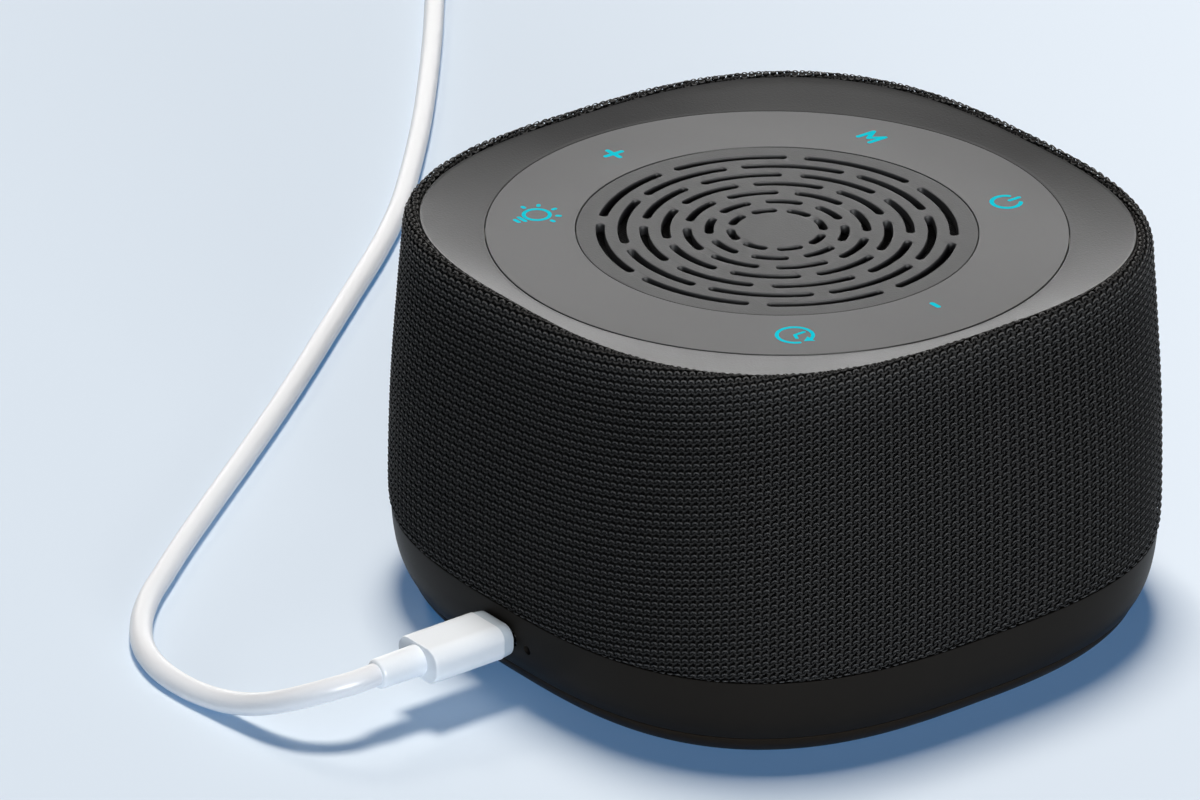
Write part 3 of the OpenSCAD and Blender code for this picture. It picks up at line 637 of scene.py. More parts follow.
def materials():
    MT["knit_black"] = knit_material()
    # the lining's near-black colour is painted shade seen through the knit's holes
    MT["lining"] = cloth("lining_black", (0.0025, 0.0025, 0.0026), 0.45, 0.04, 0.9)
    MT["shell_black"] = plastic("shell_black", (0.03, 0.03, 0.032), 0.5, 0.3)
    MT["panel_grey"] = plastic("panel_grey", (0.046, 0.047, 0.0485), 0.42, 0.3, 0.03, 0.12, 0.44)
    MT["ring_grey"] = plastic("ring_grey", (0.0775, 0.0795, 0.082), 0.42, 0.1, 0.003, 0.02, 0.55)
    MT["grille_grey"] = plastic("grille_grey", (0.066, 0.068, 0.0705), 0.5, 0.28, 0.028, 0.1, 0.45)
    MT["symbol_cyan"] = symbol_material()
    MT["acoustic_cloth"] = cloth("acoustic_cloth", (0.0015, 0.0015, 0.0015), 0.5)
    MT["circuit_board"] = board("circuit_board")
    MT["copper"] = winding("copper", (0.75, 0.36, 0.18))
    MT["led_white"] = plastic("led_white", (0.85, 0.82, 0.7), 0.25, 0.3, 0.004)
    MT["diffuser"] = plastic("diffuser", (0.8, 0.8, 0.77), 0.4, 0.3, 0.004)
    MT["foam_black"] = plastic("foam_black", (0.015, 0.015, 0.016), 0.85, 0.4, 0.12, 0.2, 0.2)
    MT["basket_black"] = plastic("basket_black", (0.022, 0.022, 0.024), 0.38, 0.35, 0.012)
    MT["surround_rubber"] = rubber("surround_rubber", (0.014, 0.014, 0.015))
    MT["cone_paper"] = cloth("cone_paper", (0.03, 0.029, 0.028), 1.1, 0.05)
    MT["spider_cloth"] = cloth("spider_cloth", (0.5, 0.34, 0.12), 0.5)
    MT["steel_plate"] = metal("steel_plate", (0.56, 0.56, 0.57), 0.32)
    MT["ferrite"] = plastic("ferrite", (0.045, 0.045, 0.05), 0.42, 0.4, 0.02)
    MT["tag_board"] = plastic("tag_board", (0.42, 0.26, 0.12), 0.7, 0.5, 0.02, 0.15)
    MT["screw_steel"] = metal("screw_steel", (0.62, 0.62, 0.63), 0.26)
    MT["base_black"] = plastic("base_black", (0.0152, 0.0133, 0.0112), 0.4, 0.3, 0.006, 0.06, 0.035)
    MT["cover_black"] = plastic("cover_black", (0.0222, 0.0168, 0.0118), 0.4, 0.3, 0.006, 0.06, 0.02)
    MT["foot_rubber"] = rubber("foot_rubber", (0.012, 0.012, 0.012))
    MT["chip_black"] = plastic("chip_black", (0.02, 0.02, 0.022), 0.55, 0.2, 0.01)
    MT["pipe_smoke"] = plastic("pipe_smoke", (0.004, 0.004, 0.004), 0.15, 0.3, 0.002)
    MT["cell_wrap"] = plastic("cell_wrap", (0.03, 0.13, 0.42), 0.25, 2.0, 0.02)
    MT["wire_red"] = rubber("wire_red", (0.5, 0.02, 0.02), 0.4)
    MT["wire_black"] = rubber("wire_black", (0.02, 0.02, 0.02), 0.4)
    MT["ribbon_grey"] = plastic("ribbon_grey", (0.6, 0.6, 0.56), 0.4, 0.6, 0.01)
    MT["plug_white"] = plastic("plug_white", (0.80, 0.85, 0.90), 0.34, 0.35, 0.003, 0.015, 0.5)
    m = plastic("plug_body_painted_neck_shade", (0.80, 0.85, 0.90), 0.34, 0.35, 0.003, 0.015, 0.5)
    base_col = m.b.inputs["Base Color"].links[0].from_socket
    # painted shade: a darker, bluer tone on the slanted neck
    m.set(Base_Color=m.mix(m.sep(m.uv("neck"))[0], base_col, (0.55, 0.63, 0.70)))
    MT["plug_body_painted_neck_shade"] = m
    MT["jacket_white"] = plastic("jacket_white", (0.74, 0.77, 0.81), 0.36, 0.5, 0.003, 0.015, 0.5)
    MT["plug_steel"] = metal("plug_steel", (0.62, 0.62, 0.64), 0.2)
    MT["tie_black"] = cloth("tie_black", (0.02, 0.02, 0.02), 0.6, 0.12)


materials()


# ---------------------------------------------------------------- fabric sleeve
FAB = [
    (59.7, 17.2), (60.0, 17.06), (60.35, 17.1), (60.58, 17.45), (60.74, 18.4), (60.85, 20.2), (60.88, 22.5), (60.82, 27), (60.68, 32.5),
    (60.45, 39), (60.13, 45), (59.8, 50), (59.43, 55), (58.88, 62.5), (58.5, 67), (58.36, 69.4), (58.12, 70.8), (57.6, 71.8),
    (56.9, 72.26), (56.3, 72.22), (55.88, 71.85), (55.72, 71.2), (55.7, 70.4),
]


WALES = 225  # stitches round the body
RISE = 32  # courses that the yarns climb in one turn, as on a circular knitting machine
COURSE = 1.48  # height of a course in mm
YARN_R = 0.17  # half the yarn's thickness in mm
SEG = 16  # lengths of yarn per stitch
PANELS = 6


class Sleeve:
    """The fabric's middle surface: place and outward normal at v mm up its profile and angle th."""

    def __init__(self, depth):
        self.prof, self.s = smooth_profile(FAB, None)
        self.total, self.depth = self.s[-1], depth

    def at(self, v, th, lift):
        v = np.clip(v, 0, self.total)
        e = 0.03
        f = lambda w, k: np.interp(np.clip(w, 0, self.total), self.s, self.prof[:, k])
        a, z = f(v, 0), f(v, 1)
        da, dz = f(v + e, 0) - f(v - e, 0), f(v + e, 1) - f(v - e, 1)
        ln = np.hypot(da, dz)
        na, nz = dz / ln, -da / ln
        c, sn, g = np.cos(th), np.sin(th), sq(th)
        gx, gy = np.sign(c) * np.abs(c) ** (EXP - 1), np.sign(sn) * np.abs(sn) ** (EXP - 1)
        gl = np.hypot(gx, gy)
        gx, gy = gx / gl, gy / gl
        slope = g * (c * gx + sn * gy)
        n = np.stack([gx * na, gy * na, nz * slope], -1)
        n /= np.linalg.norm(n, axis=-1, keepdims=True)
        return np.stack([a * g * c, a * g * sn, z], -1) + n * (lift - self.depth)[..., None], n


def fabric():
    """A plain knit, purl side out: every course is one yarn that loops through the course below."""
    sleeve = Sleeve(0.34)
    fine, perimeter = even_thetas(14400, math.pi / 4)
    unit = COURSE / 5  # the classic plain-knit loop has a course of 5 units and a wale of 2 pi
    h, d = 4.0 * unit, 0.17
    pitch = COURSE
    courses = int(sleeve.total / pitch) + 3 + RISE
    cols = WALES * SEG
    t = 2 * np.pi * np.arange(-1, cols + 2) / SEG  # one column more at each end, for the tangents
    across = (t + 1.6 * np.sin(2 * t) - 0.45 * np.sin(t)) / (2 * np.pi)  # in wales, the heads narrower than the feet
    # the cloth is stretched unevenly: the stitches are narrow at two opposite corners and wide at the others
    w = np.linspace(-0.1, 1.1, 16801)
    wales = WALES * (w - 0.246 / (4 * np.pi) * np.sin(4 * np.pi * w) + 0.075 / (8 * np.pi) * np.sin(8 * np.pi * w))
    share = np.interp(across, wales, w)
    th = np.interp(share % 1.0 * 14400, np.arange(14401), np.append(fine, fine[0] + 2 * np.pi))
    up, lift = h * np.cos(t), d * np.cos(2 * t) + 0.05 * np.cos(t)
    V = pitch * (np.arange(courses)[:, None] - RISE - 1 + RISE * (t / (2 * np.pi * WALES))[None, :]) + up[None, :]
    TH, LIFT = np.broadcast_to(th, V.shape), np.broadcast_to(lift, V.shape)
    C, N = sleeve.at(V, TH, LIFT)
    T = C[:, 2:] - C[:, :-2]
    C, N, V = C[:, 1:-1], N[:, 1:-1], V[:, 1:-1]
    length = np.concatenate([np.zeros((courses, 1)), np.cumsum(np.linalg.norm(C[:, 1:] - C[:, :-1], axis=-1), axis=1)], 1)
    T /= np.linalg.norm(T, axis=-1, keepdims=True) + 1e-12
    B = np.cross(N, T)
    B /= np.linalg.norm(B, axis=-1, keepdims=True) + 1e-12
    N2 = np.cross(T, B)
    phi = np.radians([-84, -29, 29, 84])
    D = np.cos(phi)[None, :, None, None] * N2[:, None] + np.sin(phi)[None, :, None, None] * B[:, None]
    P = (C[:, None] + YARN_R * D) * MM  # courses, 4, cols + 1, 3
    per = cols // PANELS
    j = np.arange(4) / 3
    for i in range(PANELS):
        at = slice(i * per, i * per + per + 1)
        v = V[:, at]
        inside = (v > -0.12) & (v < sleeve.total + 0.12)
        rows = np.nonzero(inside.any(1))[0]
        k0, k1 = rows[0], rows[-1] + 1
        k = np.arange(k0, k1)[:, None, None]
        q = P[k0:k1, :, at].reshape(-1, 3)
        n = D[k0:k1, :, at].reshape(-1, 3)
        x = np.broadcast_to(length[k0:k1, None, at], (k1 - k0, 4, per + 1))
        yarn = np.stack([x, np.broadcast_to(k + 0.02 + 0.96 * j[None, :, None], x.shape)], -1).reshape(-1, 2)
        proud = np.broadcast_to((0.5 + 0.5 * np.cos(2 * t[1:-1][at])) * (0.76 + 0.24 * np.cos(t[1:-1][at])), x.shape)
        lay = np.stack([proud, np.broadcast_to(np.cos(phi)[None, :, None], x.shape)], -1).reshape(-1, 2)
        u = np.broadcast_to(0.002 + 0.996 * np.arange(per + 1) / per, x.shape)
        bake = np.stack([u, np.broadcast_to((k - k0 + 0.1 + 0.8 * j[None, :, None]) / (k1 - k0), x.shape)], -1).reshape(-1, 2)
        strip = grid_faces(4, per + 1, False, False)
        faces = strip[None] + (np.arange(k1 - k0) * 4 * (per + 1))[:, None, None]
        keep = np.stack([inside[k0:k1, :-1] & inside[k0:k1, 1:]] * 3, 1).reshape(k1 - k0, -1)
        faces = faces[keep]
        used, faces = np.unique(faces, return_inverse=True)
        faces = faces.reshape(-1, 4)
        name = f"fabric_panel_{i + 1}"
        me = make_mesh(name, q[used], faces, {"OFBake": bake[used], "yarn": yarn[used], "lay": lay[used]}, n[used])
        o = add(name, me, "housing", MT["knit_black"], ("fabric_cover",))
    # a thin near-black cloth just behind the knit; its darkness is painted shade seen through the holes
    th = even_thetas(360, math.pi / 4)[0]
    rows = []
    vs = np.linspace(0.3, sleeve.total - 0.1, 90)
    for depth in (0.42, 0.52):
        rows.append(np.stack([sleeve.at(np.full(len(th), v), th, np.full(len(th), -depth))[0] for v in vs]))
    R = np.concatenate([rows[0], rows[1][::-1]]) * MM
    me = recalc(make_mesh("fabric_lining", R.reshape(-1, 3), grid_faces(R.shape[0], len(th), True, True)))
    o = add("fabric_lining", me, "housing", MT["lining"], ("fabric_cover",))
    print("fabric", courses, "courses of", round(pitch, 3), "mm, profile", round(float(sleeve.total), 2), "round", round(perimeter * 60.5, 1))


fabric()

# ---------------------------------------------------------------- rim plate
TH = even_thetas(720)[0]


def monotone(xs, ys, n):
    """A smooth curve through the points: Catmull-Rom in x."""
    pts = smooth_profile(list(zip(xs, ys)), None)[0]
    at = np.linspace(xs[0], xs[-1], n)
    return at, np.interp(at, pts[:, 0], pts[:, 1])


def rim_plate():
    t, z = monotone([0, 0.2, 0.4, 0.6, 0.8, 1.0], [69.98, 70.26, 70.56, 70.87, 71.18, 71.5], 28)
    rings = [(0, 50.25, 0, 66.4), (0, 50.22, 0, 69.1), (0, 50.03, 0, 69.3), (0, 50.03, 0, 69.78), (0, 50.06, 0, 69.86), (0, 50.14, 0, 69.92), (0, 50.3, 0, 69.95)]
    rings += [(float(a), 50.7, 55.5 - 0.16 * float(a), float(b)) for a, b in zip(t, z)]
    rings += [(1, 0, 55.42, 71.58), (1, 0, 55.52, 71.6), (1, 0, 55.59, 71.55), (1, 0, 55.62, 71.45), (1, 0, 55.62, 70.4), (1, 0, 55.2, 69.8), (1, 0, 55.2, 62.2),
              (1, 0, 55.05, 62), (1, 0, 53.55, 62), (1, 0, 53.4, 62.2), (1, 0, 53.4, 69), (0.3, 50.7, 55.6, 68.1), (0, 52, 0, 67.9), (0, 52, 0, 63.4), (0, 30, 0, 63.4), (0, 30, 0, 66.4)]
    me = recalc(closed_loft("rim_plate", rings, TH))
    sharpen(me, 40)
    o = add("rim_plate", me, "housing", MT["panel_grey"], ("top_panel",))
    weighted(o)


rim_plate()


# ---------------------------------------------------------------- touch ring, symbols, grille
def touch_ring():
    prof = filleted([(34.55, 68.2), (49.9, 68.2), (49.9, 70.0), (34.55, 70.0)], [0.05, 0.1, 0.13, 0.13], 6)
    o = add("touch_ring_face", revolve("touch_ring_face", prof, 512), "housing", MT["ring_grey"], ("touch_ring",))
    weighted(o)


touch_ring()


def stroke(p, q, w, n=8):
    p, q = np.array(p, float), np.array(q, float)
    a = math.atan2(q[1] - p[1], q[0] - p[0])
    cap = lambda c, s: [c + w / 2 * np.array([math.cos(s + math.pi * k / n), math.sin(s + math.pi * k / n)]) for k in range(n + 1)]
    return cap(q, a - math.pi / 2) + cap(p, a + math.pi / 2)


def arc_shape(r, w, a0, a1, step=5, n=8, ends=True):
    a0, a1 = math.radians(a0), math.radians(a1)
    m = max(4, int(round(math.degrees(a1 - a0) / step)))
    P = lambda rr, a: np.array([rr * math.cos(a), rr * math.sin(a)])
    out = [P(r + w / 2, a0 + (a1 - a0) * k / m) for k in range(m + 1)]
    if ends:
        out += [P(r, a1) + w / 2 * np.array([math.cos(a1 + math.pi * k / n), math.sin(a1 + math.pi * k / n)]) for k in range(1, n)]
    out += [P(r - w / 2, a1 - (a1 - a0) * k / m) for k in range(m + 1)]
    if ends:
        out += [P(r, a0) + w / 2 * np.array([math.cos(a0 + math.pi + math.pi * k / n), math.sin(a0 + math.pi + math.pi * k / n)]) for k in range(1, n)]
    return out


def ring_shape(r, w, step=4):
    """A whole ring as two half rings."""
    return [arc_shape(r, w, 0, 180, step, ends=False), arc_shape(r, w, 180, 360, step, ends=False)]


def polyline_shape(pts, w, step=None):
    """One outline per segment, with round joins."""
    return [stroke(a, b, w, 10) for a, b in zip(pts[:-1], pts[1:])]


IW = 0.72


def symbol_shapes():
    """Outlines of the symbols, upright along +Y, each about its own centre, in mm."""
    turn = lambda a: np.array([math.cos(math.radians(a)), math.sin(math.radians(a))])
    bulb = np.array([0.04, -0.45])
    lamp = [[p + bulb for p in half] for half in ring_shape(2.25, IW)]
    lamp += [stroke(bulb + 3.55 * turn(a), bulb + 4.0 * turn(a), IW + 0.04) for a in (9, 45, 90, 138, 180)]
    lamp += [stroke([-0.9, -3.62], [0.98, -3.62], IW), stroke([-0.52, -4.75], [0.6, -4.75], IW)]
    plus = [stroke([-1.72, 0.08], [1.72, 0.08], 0.92), stroke([0, -1.64], [0, 1.8], 0.92)]
    mode = polyline_shape([(-1.62, -1.72), (-1.62, 1.78), (-0.05, -0.72), (1.52, 1.78), (1.52, -1.72)], 0.88)
    power = [arc_shape(2.5, 0.8, 129, 409, 4), stroke([-0.1, 0.85], [-0.1, 2.95], 0.76)]
    minus = [stroke([-0.8, 0], [0.8, 0], 0.92)]
    timer = [arc_shape(3.02, 0.68, 28, 336, 4), stroke([0, 0], [0, 1.95], 0.62), stroke([0, 0], [1.15, -0.5], 0.62),
             [np.array(p) for p in ([1.7, 1.3], [2.75, -0.3], [3.8, 1.3])]]
    at = [[-29.8, -28.5], [-41.8, -2.9], [-20, 37.4], [15.2, 38.4], [39.9, 1.9], [34.7, -24.2]]
    return [(at[i], s) for i, s in enumerate((lamp, plus, mode, power, minus, timer))]


def union_prism(name, shapes, z0, z1):
    """The union of flat outlines, in mm, drawn up from z0 to z1 as closed solids."""
    verts, faces = [], []
    for sh in shapes:
        faces.append(list(range(len(verts), len(verts) + len(sh))))
        verts += [Vector((float(p[0]), float(p[1]))) for p in sh]
    vs, _, fs, _, _, came_from = delaunay_2d_cdt(verts, [], faces, 0, 1e-5)
    bm = bmesh.new()
    top = [bm.verts.new((v[0] * MM, v[1] * MM, z1 * MM)) for v in vs]
    for f, of in zip(fs, came_from):
        if of:
            bm.faces.new([top[i] for i in f])
    for v in [v for v in bm.verts if not v.link_faces]:
        bm.verts.remove(v)
    bmesh.ops.recalc_face_normals(bm, faces=bm.faces)
    for f in bm.faces:
        if f.normal.z < 0:
            f.normal_flip()
    geo = bmesh.ops.extrude_face_region(bm, geom=list(bm.faces))
    low = [g for g in geo["geom"] if isinstance(g, bmesh.types.BMVert)]
    bmesh.ops.translate(bm, verts=low, vec=(0, 0, (z0 - z1) * MM))
    bmesh.ops.recalc_face_normals(bm, faces=bm.faces)
    me = bpy.data.meshes.new(name)
    bm.to_mesh(me)
    bm.free()
    return me


def symbols():
    names = ("symbol_lamp", "symbol_plus", "symbol_mode", "symbol_power", "symbol_minus", "symbol_timer")
    for (at, shapes), name in zip(symbol_shapes(), names):
        moved = [[np.array(p) + at for p in s] for s in shapes]
        me = union_prism(name, moved, 69.9, 70.02)
        add(name, me, "housing", MT["symbol_cyan"], ("touch_icons",))


symbols()

SLOT_HALF = [18.2, 18, 16.6, 16.1, 14.4, 12.2, 11]


def grille():
    cu = bpy.data.curves.new("grille", "CURVE")
    cu.dimensions, cu.fill_mode = "2D", "BOTH"
    edge = 0.16
    cu.extrude, cu.bevel_depth, cu.bevel_resolution = (0.875 - edge) * MM, edge * MM, 2
    cu.offset = -edge * MM
    loops = [[np.array([34.4 * math.cos(a), 34.4 * math.sin(a)]) for a in np.linspace(0, 2 * np.pi, 361)[:-1]]]
    for i in range(7):
        r = 30.25 - 3.72 * i
        for j in range(8):
            mid = 45 * j + (22.5 if i % 2 == 0 else 0)
            loops.append(arc_shape(r, 1.5, mid - SLOT_HALF[i], mid + SLOT_HALF[i], 2.2 if r > 15 else 4, 8))
    for lp in loops:
        s = cu.splines.new("POLY")
        s.points.add(len(lp) - 1)
        s.points.foreach_set("co", np.array([[p[0] * MM, p[1] * MM, 0, 1] for p in lp], np.float32).ravel())
        s.use_cyclic_u = True
    tmp = bpy.data.objects.new("grille_tmp", cu)
    SC.collection.objects.link(tmp)
    bpy.context.view_layer.update()
    me = bpy.data.meshes.new_from_object(tmp.evaluated_get(bpy.context.evaluated_depsgraph_get()))
    bpy.data.objects.remove(tmp)
    me.name = "grille_plate"
    bm = bmesh.new()
    bm.from_mesh(me)
    bmesh.ops.remove_doubles(bm, verts=bm.verts, dist=2e-6)
    bmesh.ops.translate(bm, verts=bm.verts, vec=(0, 0, (68.2 + 0.875) * MM))
    bmesh.ops.recalc_face_normals(bm, faces=bm.faces)
    bm.to_mesh(me)
    bm.free()
    sharpen(me, 50)
    print("grille", len(me.polygons), "box", [round(v, 5) for v in (min(v.co.z for v in me.vertices), max(v.co.z for v in me.vertices), max(v.co.x for v in me.vertices))])
    o = add("grille_plate", me, "housing", MT["grille_grey"], ("speaker_grille",))
    weighted(o)


grille()

# ---------------------------------------------------------------- base and its cover
def base():
    outer = smooth_profile([(57.56, 5.08), (58.1, 6.1), (58.6, 7.1), (59.3, 9), (59.78, 11), (60.08, 13), (60.28, 15), (60.38, 16.8)], 0.35)
    prof = [(57.3, 4.98), (57.45, 5.0)] + [tuple(p) for p in outer] + [(60.36, 16.94), (60.25, 17.0), (57.4, 17), (57.4, 20), (55.7, 20), (55.7, 15.8), (57.5, 14), (57.1, 10), (56.4, 7.5), (55.3, 5.1)]
    th = even_thetas(512)[0]
    me = recalc(closed_loft("base_bowl", [(1, 0, a, z) for a, z in prof], th))
    o = add("base_bowl", me, "housing", MT["base_black"], ("base_housing",))
    # port and pinhole, each with a softened mouth
    def stadium(w, h, y, n=16):
        out = []
        for s, a0 in ((1, -90), (-1, 90)):
            for k in range(n + 1):
                a = math.radians(a0 + 180 * k / n)
                out.append([s * (w - h) / 2 + h / 2 * math.cos(a), y, 11.5 + h / 2 * math.sin(a)])
        return out
    port = tube_sections("port", [stadium(9.4, 3.6, -54), stadium(9.4, 3.6, -59.45), stadium(9.55, 3.75, -59.7), stadium(10.1, 4.3, -60.2), stadium(10.1, 4.3, -62)])
    hole = lambda y, r: [[7.6 + r * math.cos(a), y, 10.9 + r * math.sin(a)] for a in np.linspace(0, 2 * np.pi, 33)[:-1]]
    pin = tube_sections("pin", [hole(-54, 0.65), hole(-58.3, 0.65), hole(-58.4, 0.85), hole(-59.5, 0.85), hole(-59.7, 0.9), hole(-60.2, 1.15), hole(-62, 1.15)])
    cut(o, [port, pin])
    sharpen(o.data, 38)
    weighted(o)

    low = smooth_profile([(53.2, 0.62), (54.4, 1.1), (55.8, 2.3), (56.9, 3.7), (57.38, 4.72)], 0.35)
    prof = [(50, 0.6)] + [tuple(p) for p in low] + [(57.36, 4.86), (57.2, 4.9), (55.1, 4.9), (55.1, 7), (53.4, 7), (53.4, 2.6), (50, 2.6)]
    rings = [(1, 0, a, z) for a, z in prof]
    rings += [(1, 0, 47.5, 2.6), (0, 40.8, 0, 2.6), (0, 1.0, 0, 2.6), (0, 1.0, 0, 0.6), (0, 40.8, 0, 0.6), (0, 40.8, 0, 1.7), (0, 46.2, 0, 1.7), (0, 46.2, 0, 0.6)]
    me = recalc(closed_loft("lower_cover", rings, th))
    bm = bmesh.new()
    bm.from_mesh(me)
    loops = [e for e in bm.edges if len(e.link_faces) == 1]
    bm.to_mesh(me)
    bm.free()
    o = add("lower_cover", me, "housing", MT["cover_black"], ("bottom_cover",))
    holes = []
    for x in (-37, 37):
        for y in (-37, 37):
            ring = lambda z, r: [[x + r * math.cos(a), y + r * math.sin(a), z] for a in np.linspace(0, 2 * np.pi, 49)[:-1]]
            holes.append(tube_sections("screw_hole", [ring(-1, 3.4), ring(0.55, 3.4), ring(0.8, 3.1), ring(3.0, 3.1)]))
    cut(o, holes)
    sharpen(o.data, 38)
    weighted(o)


base()


def foot():
    prof = filleted([(41.0, 1.7), (41.0, 0.3), (41.5, 0), (45.5, 0), (46, 0.3), (46, 1.7)], [0.05, 0.25, 0.25, 0.25, 0.25, 0.05], 4)
    o = add("foot_pad", revolve("foot_pad", prof, 256), "housing", MT["foot_rubber"], ("foot_ring",))
    weighted(o)


foot()


# ---------------------------------------------------------------- USB-C plug
def section(w, h, r, y, n=12, z0=11.5):
    """A rounded rectangle in XZ at y, starting at the middle of its right side, going up."""
    out = []
    for cx, cz, a0 in ((w / 2 - r, h / 2 - r, 0), (-(w / 2 - r), h / 2 - r, 90), (-(w / 2 - r), -(h / 2 - r), 180), (w / 2 - r, -(h / 2 - r), 270)):
        for k in range(n + 1):
            a = math.radians(a0 + 90 * k / n)
            out.append([cx + r * math.cos(a), y, z0 + cz + r * math.sin(a)])
    return out


def plug():
    W, H, R = 11.0, 6.5, 2.85
    n = 12
    base_sec = np.array(section(W, H, R, 0, n))
    ang = np.arctan2((base_sec[:, 2] - 11.5) / H, base_sec[:, 0] / W)
    # where the slanted neck at the front starts: further back over the flats than at the shoulders
    start = 2.0 + 0.7 * np.abs(np.sin(ang)) ** 6 + 0.3 * np.abs(np.cos(ang)) ** 8
    secs = []
    c = np.array([0, 0, 11.5])
    rear = -77.2
    for d, k in ((0.0, 0.955), (0.05, 0.975), (0.16, 0.99), (0.34, 0.998), (0.6, 1.0), (3, 1.0), (6, 1.0), (9, 1.0), (11.5, 1.0), (12.5, 1.0)):
        s = c + (base_sec - c) * [k, 1, k]
        s[:, 1] = rear + d
        secs.append(s)
    front = -60.6
    for w, inset in ((0, 0), (0.02, 0.06), (0.06, 0.1), (0.5, 0.2), (0.9, 0.3), (0.96, 0.34), (1.0, 0.44)):
        s = np.array(section(W - 2 * inset, H - 2 * inset, R - inset, 0, n))
        s[:, 1] = front - start * (1 - w)
        secs.append(s)
    me = tube_sections("plug_body", secs)
    # painted shade: the slanted neck is given a darker, bluer tone
    layer = me.uv_layers.new(name="neck")
    first = (len(secs) - 7) * len(base_sec)
    neck = np.zeros((len(me.loops), 2), np.float32)
    for f in me.polygons:
        if f.index >= first and f.index < (len(secs) - 1) * len(base_sec) or (len(f.vertices) == 3 and f.center.y > -0.0612):
            neck[f.loop_start : f.loop_start + f.loop_total] = 1
    layer.data.foreach_set("uv", neck.ravel())
    o = add("plug_body", me, "lead", MT["plug_body_painted_neck_shade"], ("plug_overmold",))
    sharpen(me, 14)
    weighted(o)
    # strain relief
    prof = [(0, 0), (2.75, 0), (2.74, 1.5), (2.7, 4), (2.66, 7.6), (2.63, 8.2), (2.55, 8.5), (2.38, 8.68), (2.2, 8.75), (2.02, 8.8), (0, 8.8)]
    th = np.linspace(0, 2 * np.pi, 65)[:-1]
    secs = []
    for r, d in prof[1:-1]:
        secs.append([[r * math.cos(a), -77.2 - d, 11.5 + r * math.sin(a)] for a in th])
    me = tube_sections("plug_relief", secs)
    sharpen(me, 60)
    o = add("plug_relief", me, "lead", MT["plug_white"], ("plug_collar",))
    weighted(o)


plug()


# ---------------------------------------------------------------- far plug and tie
def along(secs, origin, direction):
    """Sections drawn along local X are turned to direction and moved to origin, in mm."""
    c, s = math.cos(direction), math.sin(direction)
    P = np.array(secs, float)
    x, y = P[..., 0].copy(), P[..., 1].copy()
    P[..., 0], P[..., 1] = origin[0] + x * c - y * s, origin[1] + x * s + y * c
    return P


FAR = np.array([COIL[0] + TAIL[-1][0], COIL[1] + TAIL[-1][1], 4.0])


def far_plug():
    def sec(x, w, h, r, n=8):
        out = []
        for cy, cz, a0 in ((w / 2 - r, h / 2 - r, 0), (-(w / 2 - r), h / 2 - r, 90), (-(w / 2 - r), -(h / 2 - r), 180), (w / 2 - r, -(h / 2 - r), 270)):
            for k in range(n + 1):
                a = math.radians(a0 + 90 * k / n)
                out.append([x, cy + r * math.cos(a), 4.0 + cz + r * math.sin(a)])
        return out
    secs = []
    for x, k in ((8.0, 0.93), (8.06, 0.955), (8.25, 0.98), (8.6, 0.996), (9.0, 1.0), (14, 1.0), (20, 1.0), (26, 1.0), (28.0, 1.0), (28.4, 0.996), (28.75, 0.98), (28.94, 0.955), (29.0, 0.93)):
        pinch = 0.35 * math.exp(-(((x - 17) / 5) ** 2))
        secs.append(sec(x, 15.6 * k - pinch, 7.8 * k, 1.6))
    me = tube_sections("usb_a_body", along(secs, FAR, TAIL_DIR))
    sharpen(me, 55)
    weighted(add("usb_a_body", me, "lead", MT["plug_white"], ("usb_a_overmold",)))
    th = np.linspace(0, 2 * np.pi, 49)[:-1]
    secs = [[[x, r * math.cos(a), 4 + r * math.sin(a)] for a in th] for x, r in ((0, 2.02), (0.05, 2.2), (0.2, 2.36), (0.5, 2.45), (2, 2.55), (4, 2.66), (6, 2.78), (8, 2.9))]
    me = tube_sections("usb_a_relief", along(secs, FAR, TAIL_DIR))
    sharpen(me, 60)
    weighted(add("usb_a_relief", me, "lead", MT["plug_white"], ("usb_a_collar",)))


far_plug()


def tie():
    """A hook-and-loop strap once round the bundle."""
    half_w, half_h, mid_z = 6.7, 4.28, 4.6
    loop = []
    for a in np.linspace(0, 2 * np.pi, 65):
        ca, sa = math.cos(a), math.sin(a)
        d = (abs(ca / half_w) ** 4 + abs(sa / half_h) ** 4) ** (-0.25)
        loop.append((d * ca, d * sa))
    loop = np.array(loop[:-1])
    ang = math.radians(-60)
    R = lambda p: [COIL[0] + p[0] * math.cos(ang) - p[1] * math.sin(ang), COIL[1] + p[0] * math.sin(ang) + p[1] * math.cos(ang), p[2]]
    def band(name, pts, closed, t0, t1, w):
        n = len(pts)
        nxt = np.roll(pts, -1, 0) - np.roll(pts, 1, 0)
        if not closed:
            nxt[0], nxt[-1] = pts[1] - pts[0], pts[-1] - pts[-2]
        nr = np.stack([nxt[:, 1], -nxt[:, 0]], 1)
        nr /= np.linalg.norm(nr, axis=1)[:, None]
        cross = filleted([(t0, -w / 2), (t1, -w / 2), (t1, w / 2), (t0, w / 2)], 0.14, 3)
        secs = []
        for p, q in zip(pts, nr):
            secs.append([R((22.5 + p[0] + q[0] * t, y, mid_z + p[1] + q[1] * t)) for t, y in cross])
        P = np.array(secs) * MM
        if closed:
            return make_mesh(name, P.reshape(-1, 3), grid_faces(n, len(cross), True, True))
        return tube_sections(name, np.array(secs))
    me = recalc(band("tie_strap", loop, True, -0.28, 0.28, 5.0))
    sharpen(me, 50)
    add("tie_strap", me, "lead", MT["tie_black"], ("cable_tie",))


tie()


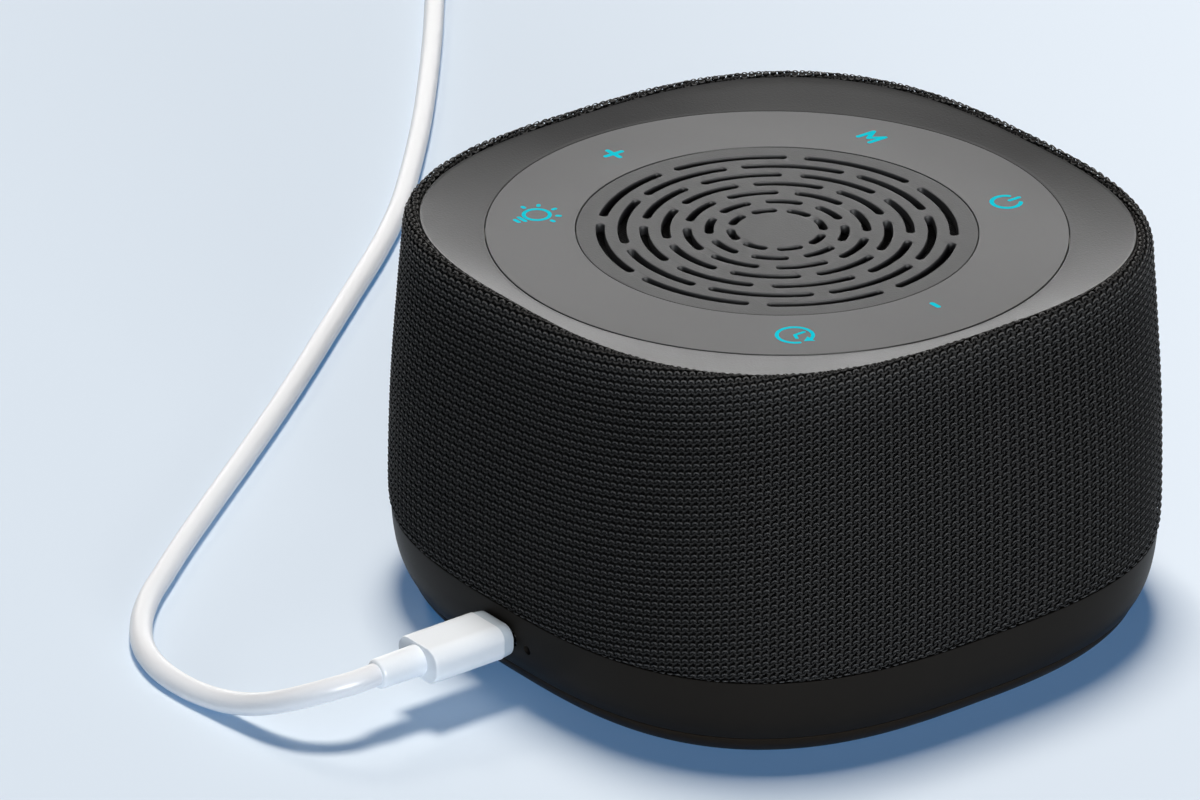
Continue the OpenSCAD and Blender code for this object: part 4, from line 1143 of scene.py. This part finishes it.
def spider():
    """Corrugated cloth disc. Its neck, glued to the coil former, is turned up clear of the winding at the top of the travel."""
    low = [(8.98, 51.64), (9.5, 51.62)]
    for i in range(1, 97):
        u, k = i / 96, min(1.0, i / 5)
        low.append((9.5 + 9.5 * u, 51.62 * (1 - k) + (51.35 - 0.35 * math.sin(8 * math.pi * u)) * k))
    low += [(19.5, 51.24), (20.8, 51.2)]
    me = revolve("spider_disc", low + [(r, z + 0.3) for r, z in reversed(low)], 128)
    sharpen(me, 40)
    add("spider_disc", me, "housing", MT["spider_cloth"], ("spider",))


spider()

# ---------------------------------------------------------------- the cord itself
CORD = make_cord(MT["jacket_white"])
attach(CORD, "lead")
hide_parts("cable_tube", "cable_coil", "cable_tail")


def curve_length():
    p = cord_points()
    q, s = smooth_profile(p, None)
    return s[-1]


CORD_LENGTH = round(curve_length() * MM, 4)
print("cord length", CORD_LENGTH)

# ---------------------------------------------------------------- CAD nodes that stay
SLOTS = {s["node"]: s["material_slot"] for s in frame["record"]["subparts"]}
for name, o in frame["nodes"].items():
    mat = MT.get(SLOTS.get(name))
    if mat is None:
        continue
    if not o.material_slots:
        o.data.materials.append(None)
    for sl in o.material_slots:
        sl.link = "OBJECT"
        sl.material = mat.m


# ---------------------------------------------------------------- stage and light
def stage():
    me = make_mesh("floor", np.array([[-5, -5, 0], [5, -5, 0], [5, 5, 0], [-5, 5, 0]], float), np.array([[0, 1, 2, 3]]), smooth=False)
    m = Mat("floor_pale")
    n = m.noise(m.obj(), 3.0, 2.0)
    x, y, _ = m.sep(m.obj())
    # painted light: the floor's colour is lighter towards the camera's right
    side = m.ramp(m.math("ADD", m.math("MULTIPLY", x, math.cos(math.radians(52.04))), m.math("MULTIPLY", y, math.sin(math.radians(52.04)))), -0.06, 0.14)
    f = m.math("ADD", m.math("MULTIPLY", n, 0.1), m.math("MULTIPLY", side, 0.9))
    # painted light: the floor glows faintly blue, a painted blue fill that shows in its shadows
    m.set(Base_Color=m.mix(f, (0.625, 0.665, 0.668), (0.76, 0.80, 0.805)), Emission_Color=(0.03, 0.375, 1.0))
    m.b.inputs["Emission Strength"].default_value = 0.175
    m.b.inputs["Roughness"].default_value = 0.7
    m.b.inputs["Specular IOR Level"].default_value = 0.0
    me.materials.append(m.m)
    o = bpy.data.objects.new("floor", me)
    o.location = (0, 0, 0)
    SC.collection.objects.link(o)


def area(name, az, el, dist, size, power, col=(1, 1, 1), glossy=True, diffuse=True):
    """A soft light: az is measured from the camera, 180 is behind the object."""
    d = bpy.data.lights.new(name, "AREA")
    d.shape = "RECTANGLE"
    d.size, d.size_y = size
    d.energy, d.color = power, col
    o = bpy.data.objects.new(name, d)
    a, e = math.radians(52.0392 + az), math.radians(el)
    v = Vector((math.sin(a) * math.cos(e), -math.cos(a) * math.cos(e), math.sin(e)))
    o.location = Vector((0, 0, 0.04)) + v * dist
    o.rotation_mode = "QUATERNION"
    o.rotation_quaternion = (-v).to_track_quat("-Z", "Y")
    o.visible_camera = False
    o.visible_glossy, o.visible_diffuse = glossy, diffuse
    SC.collection.objects.link(o)


def lights():
    warm, cool = (1.05, 1.0, 0.95), (0.93, 0.97, 1.03)
    area("overhead", -168, 84, 3.0, (0.75, 0.75), 85.0, warm, glossy=False)
    area("key_left", -148, 39, 3.0, (0.5, 0.5), 11.5, warm, glossy=False)
    area("fill_front", 0, 12, 1.8, (1.0, 0.4), 3.5, cool, glossy=False)
    area("fill_right", 18, 8, 2.4, (0.8, 0.4), 22.0, cool, glossy=False)
    area("strip_low", 180, 5, 1.6, (1.6, 0.19), 4.6, diffuse=False)
    area("strip_high", 180, 19, 1.6, (1.6, 0.19), 5.4, diffuse=False)
    area("gleam_front", 22, 14, 1.8, (0.8, 0.3), 52.0, diffuse=False)
    w = bpy.data.worlds.new("world")
    w.use_nodes = True
    bg = w.node_tree.nodes["Background"]
    bg.inputs[0].default_value = (0.80, 0.88, 1.0, 1)
    bg.inputs[1].default_value = 0.0
    SC.world = w


stage()
lights()
SC.view_settings.view_transform = "Standard"
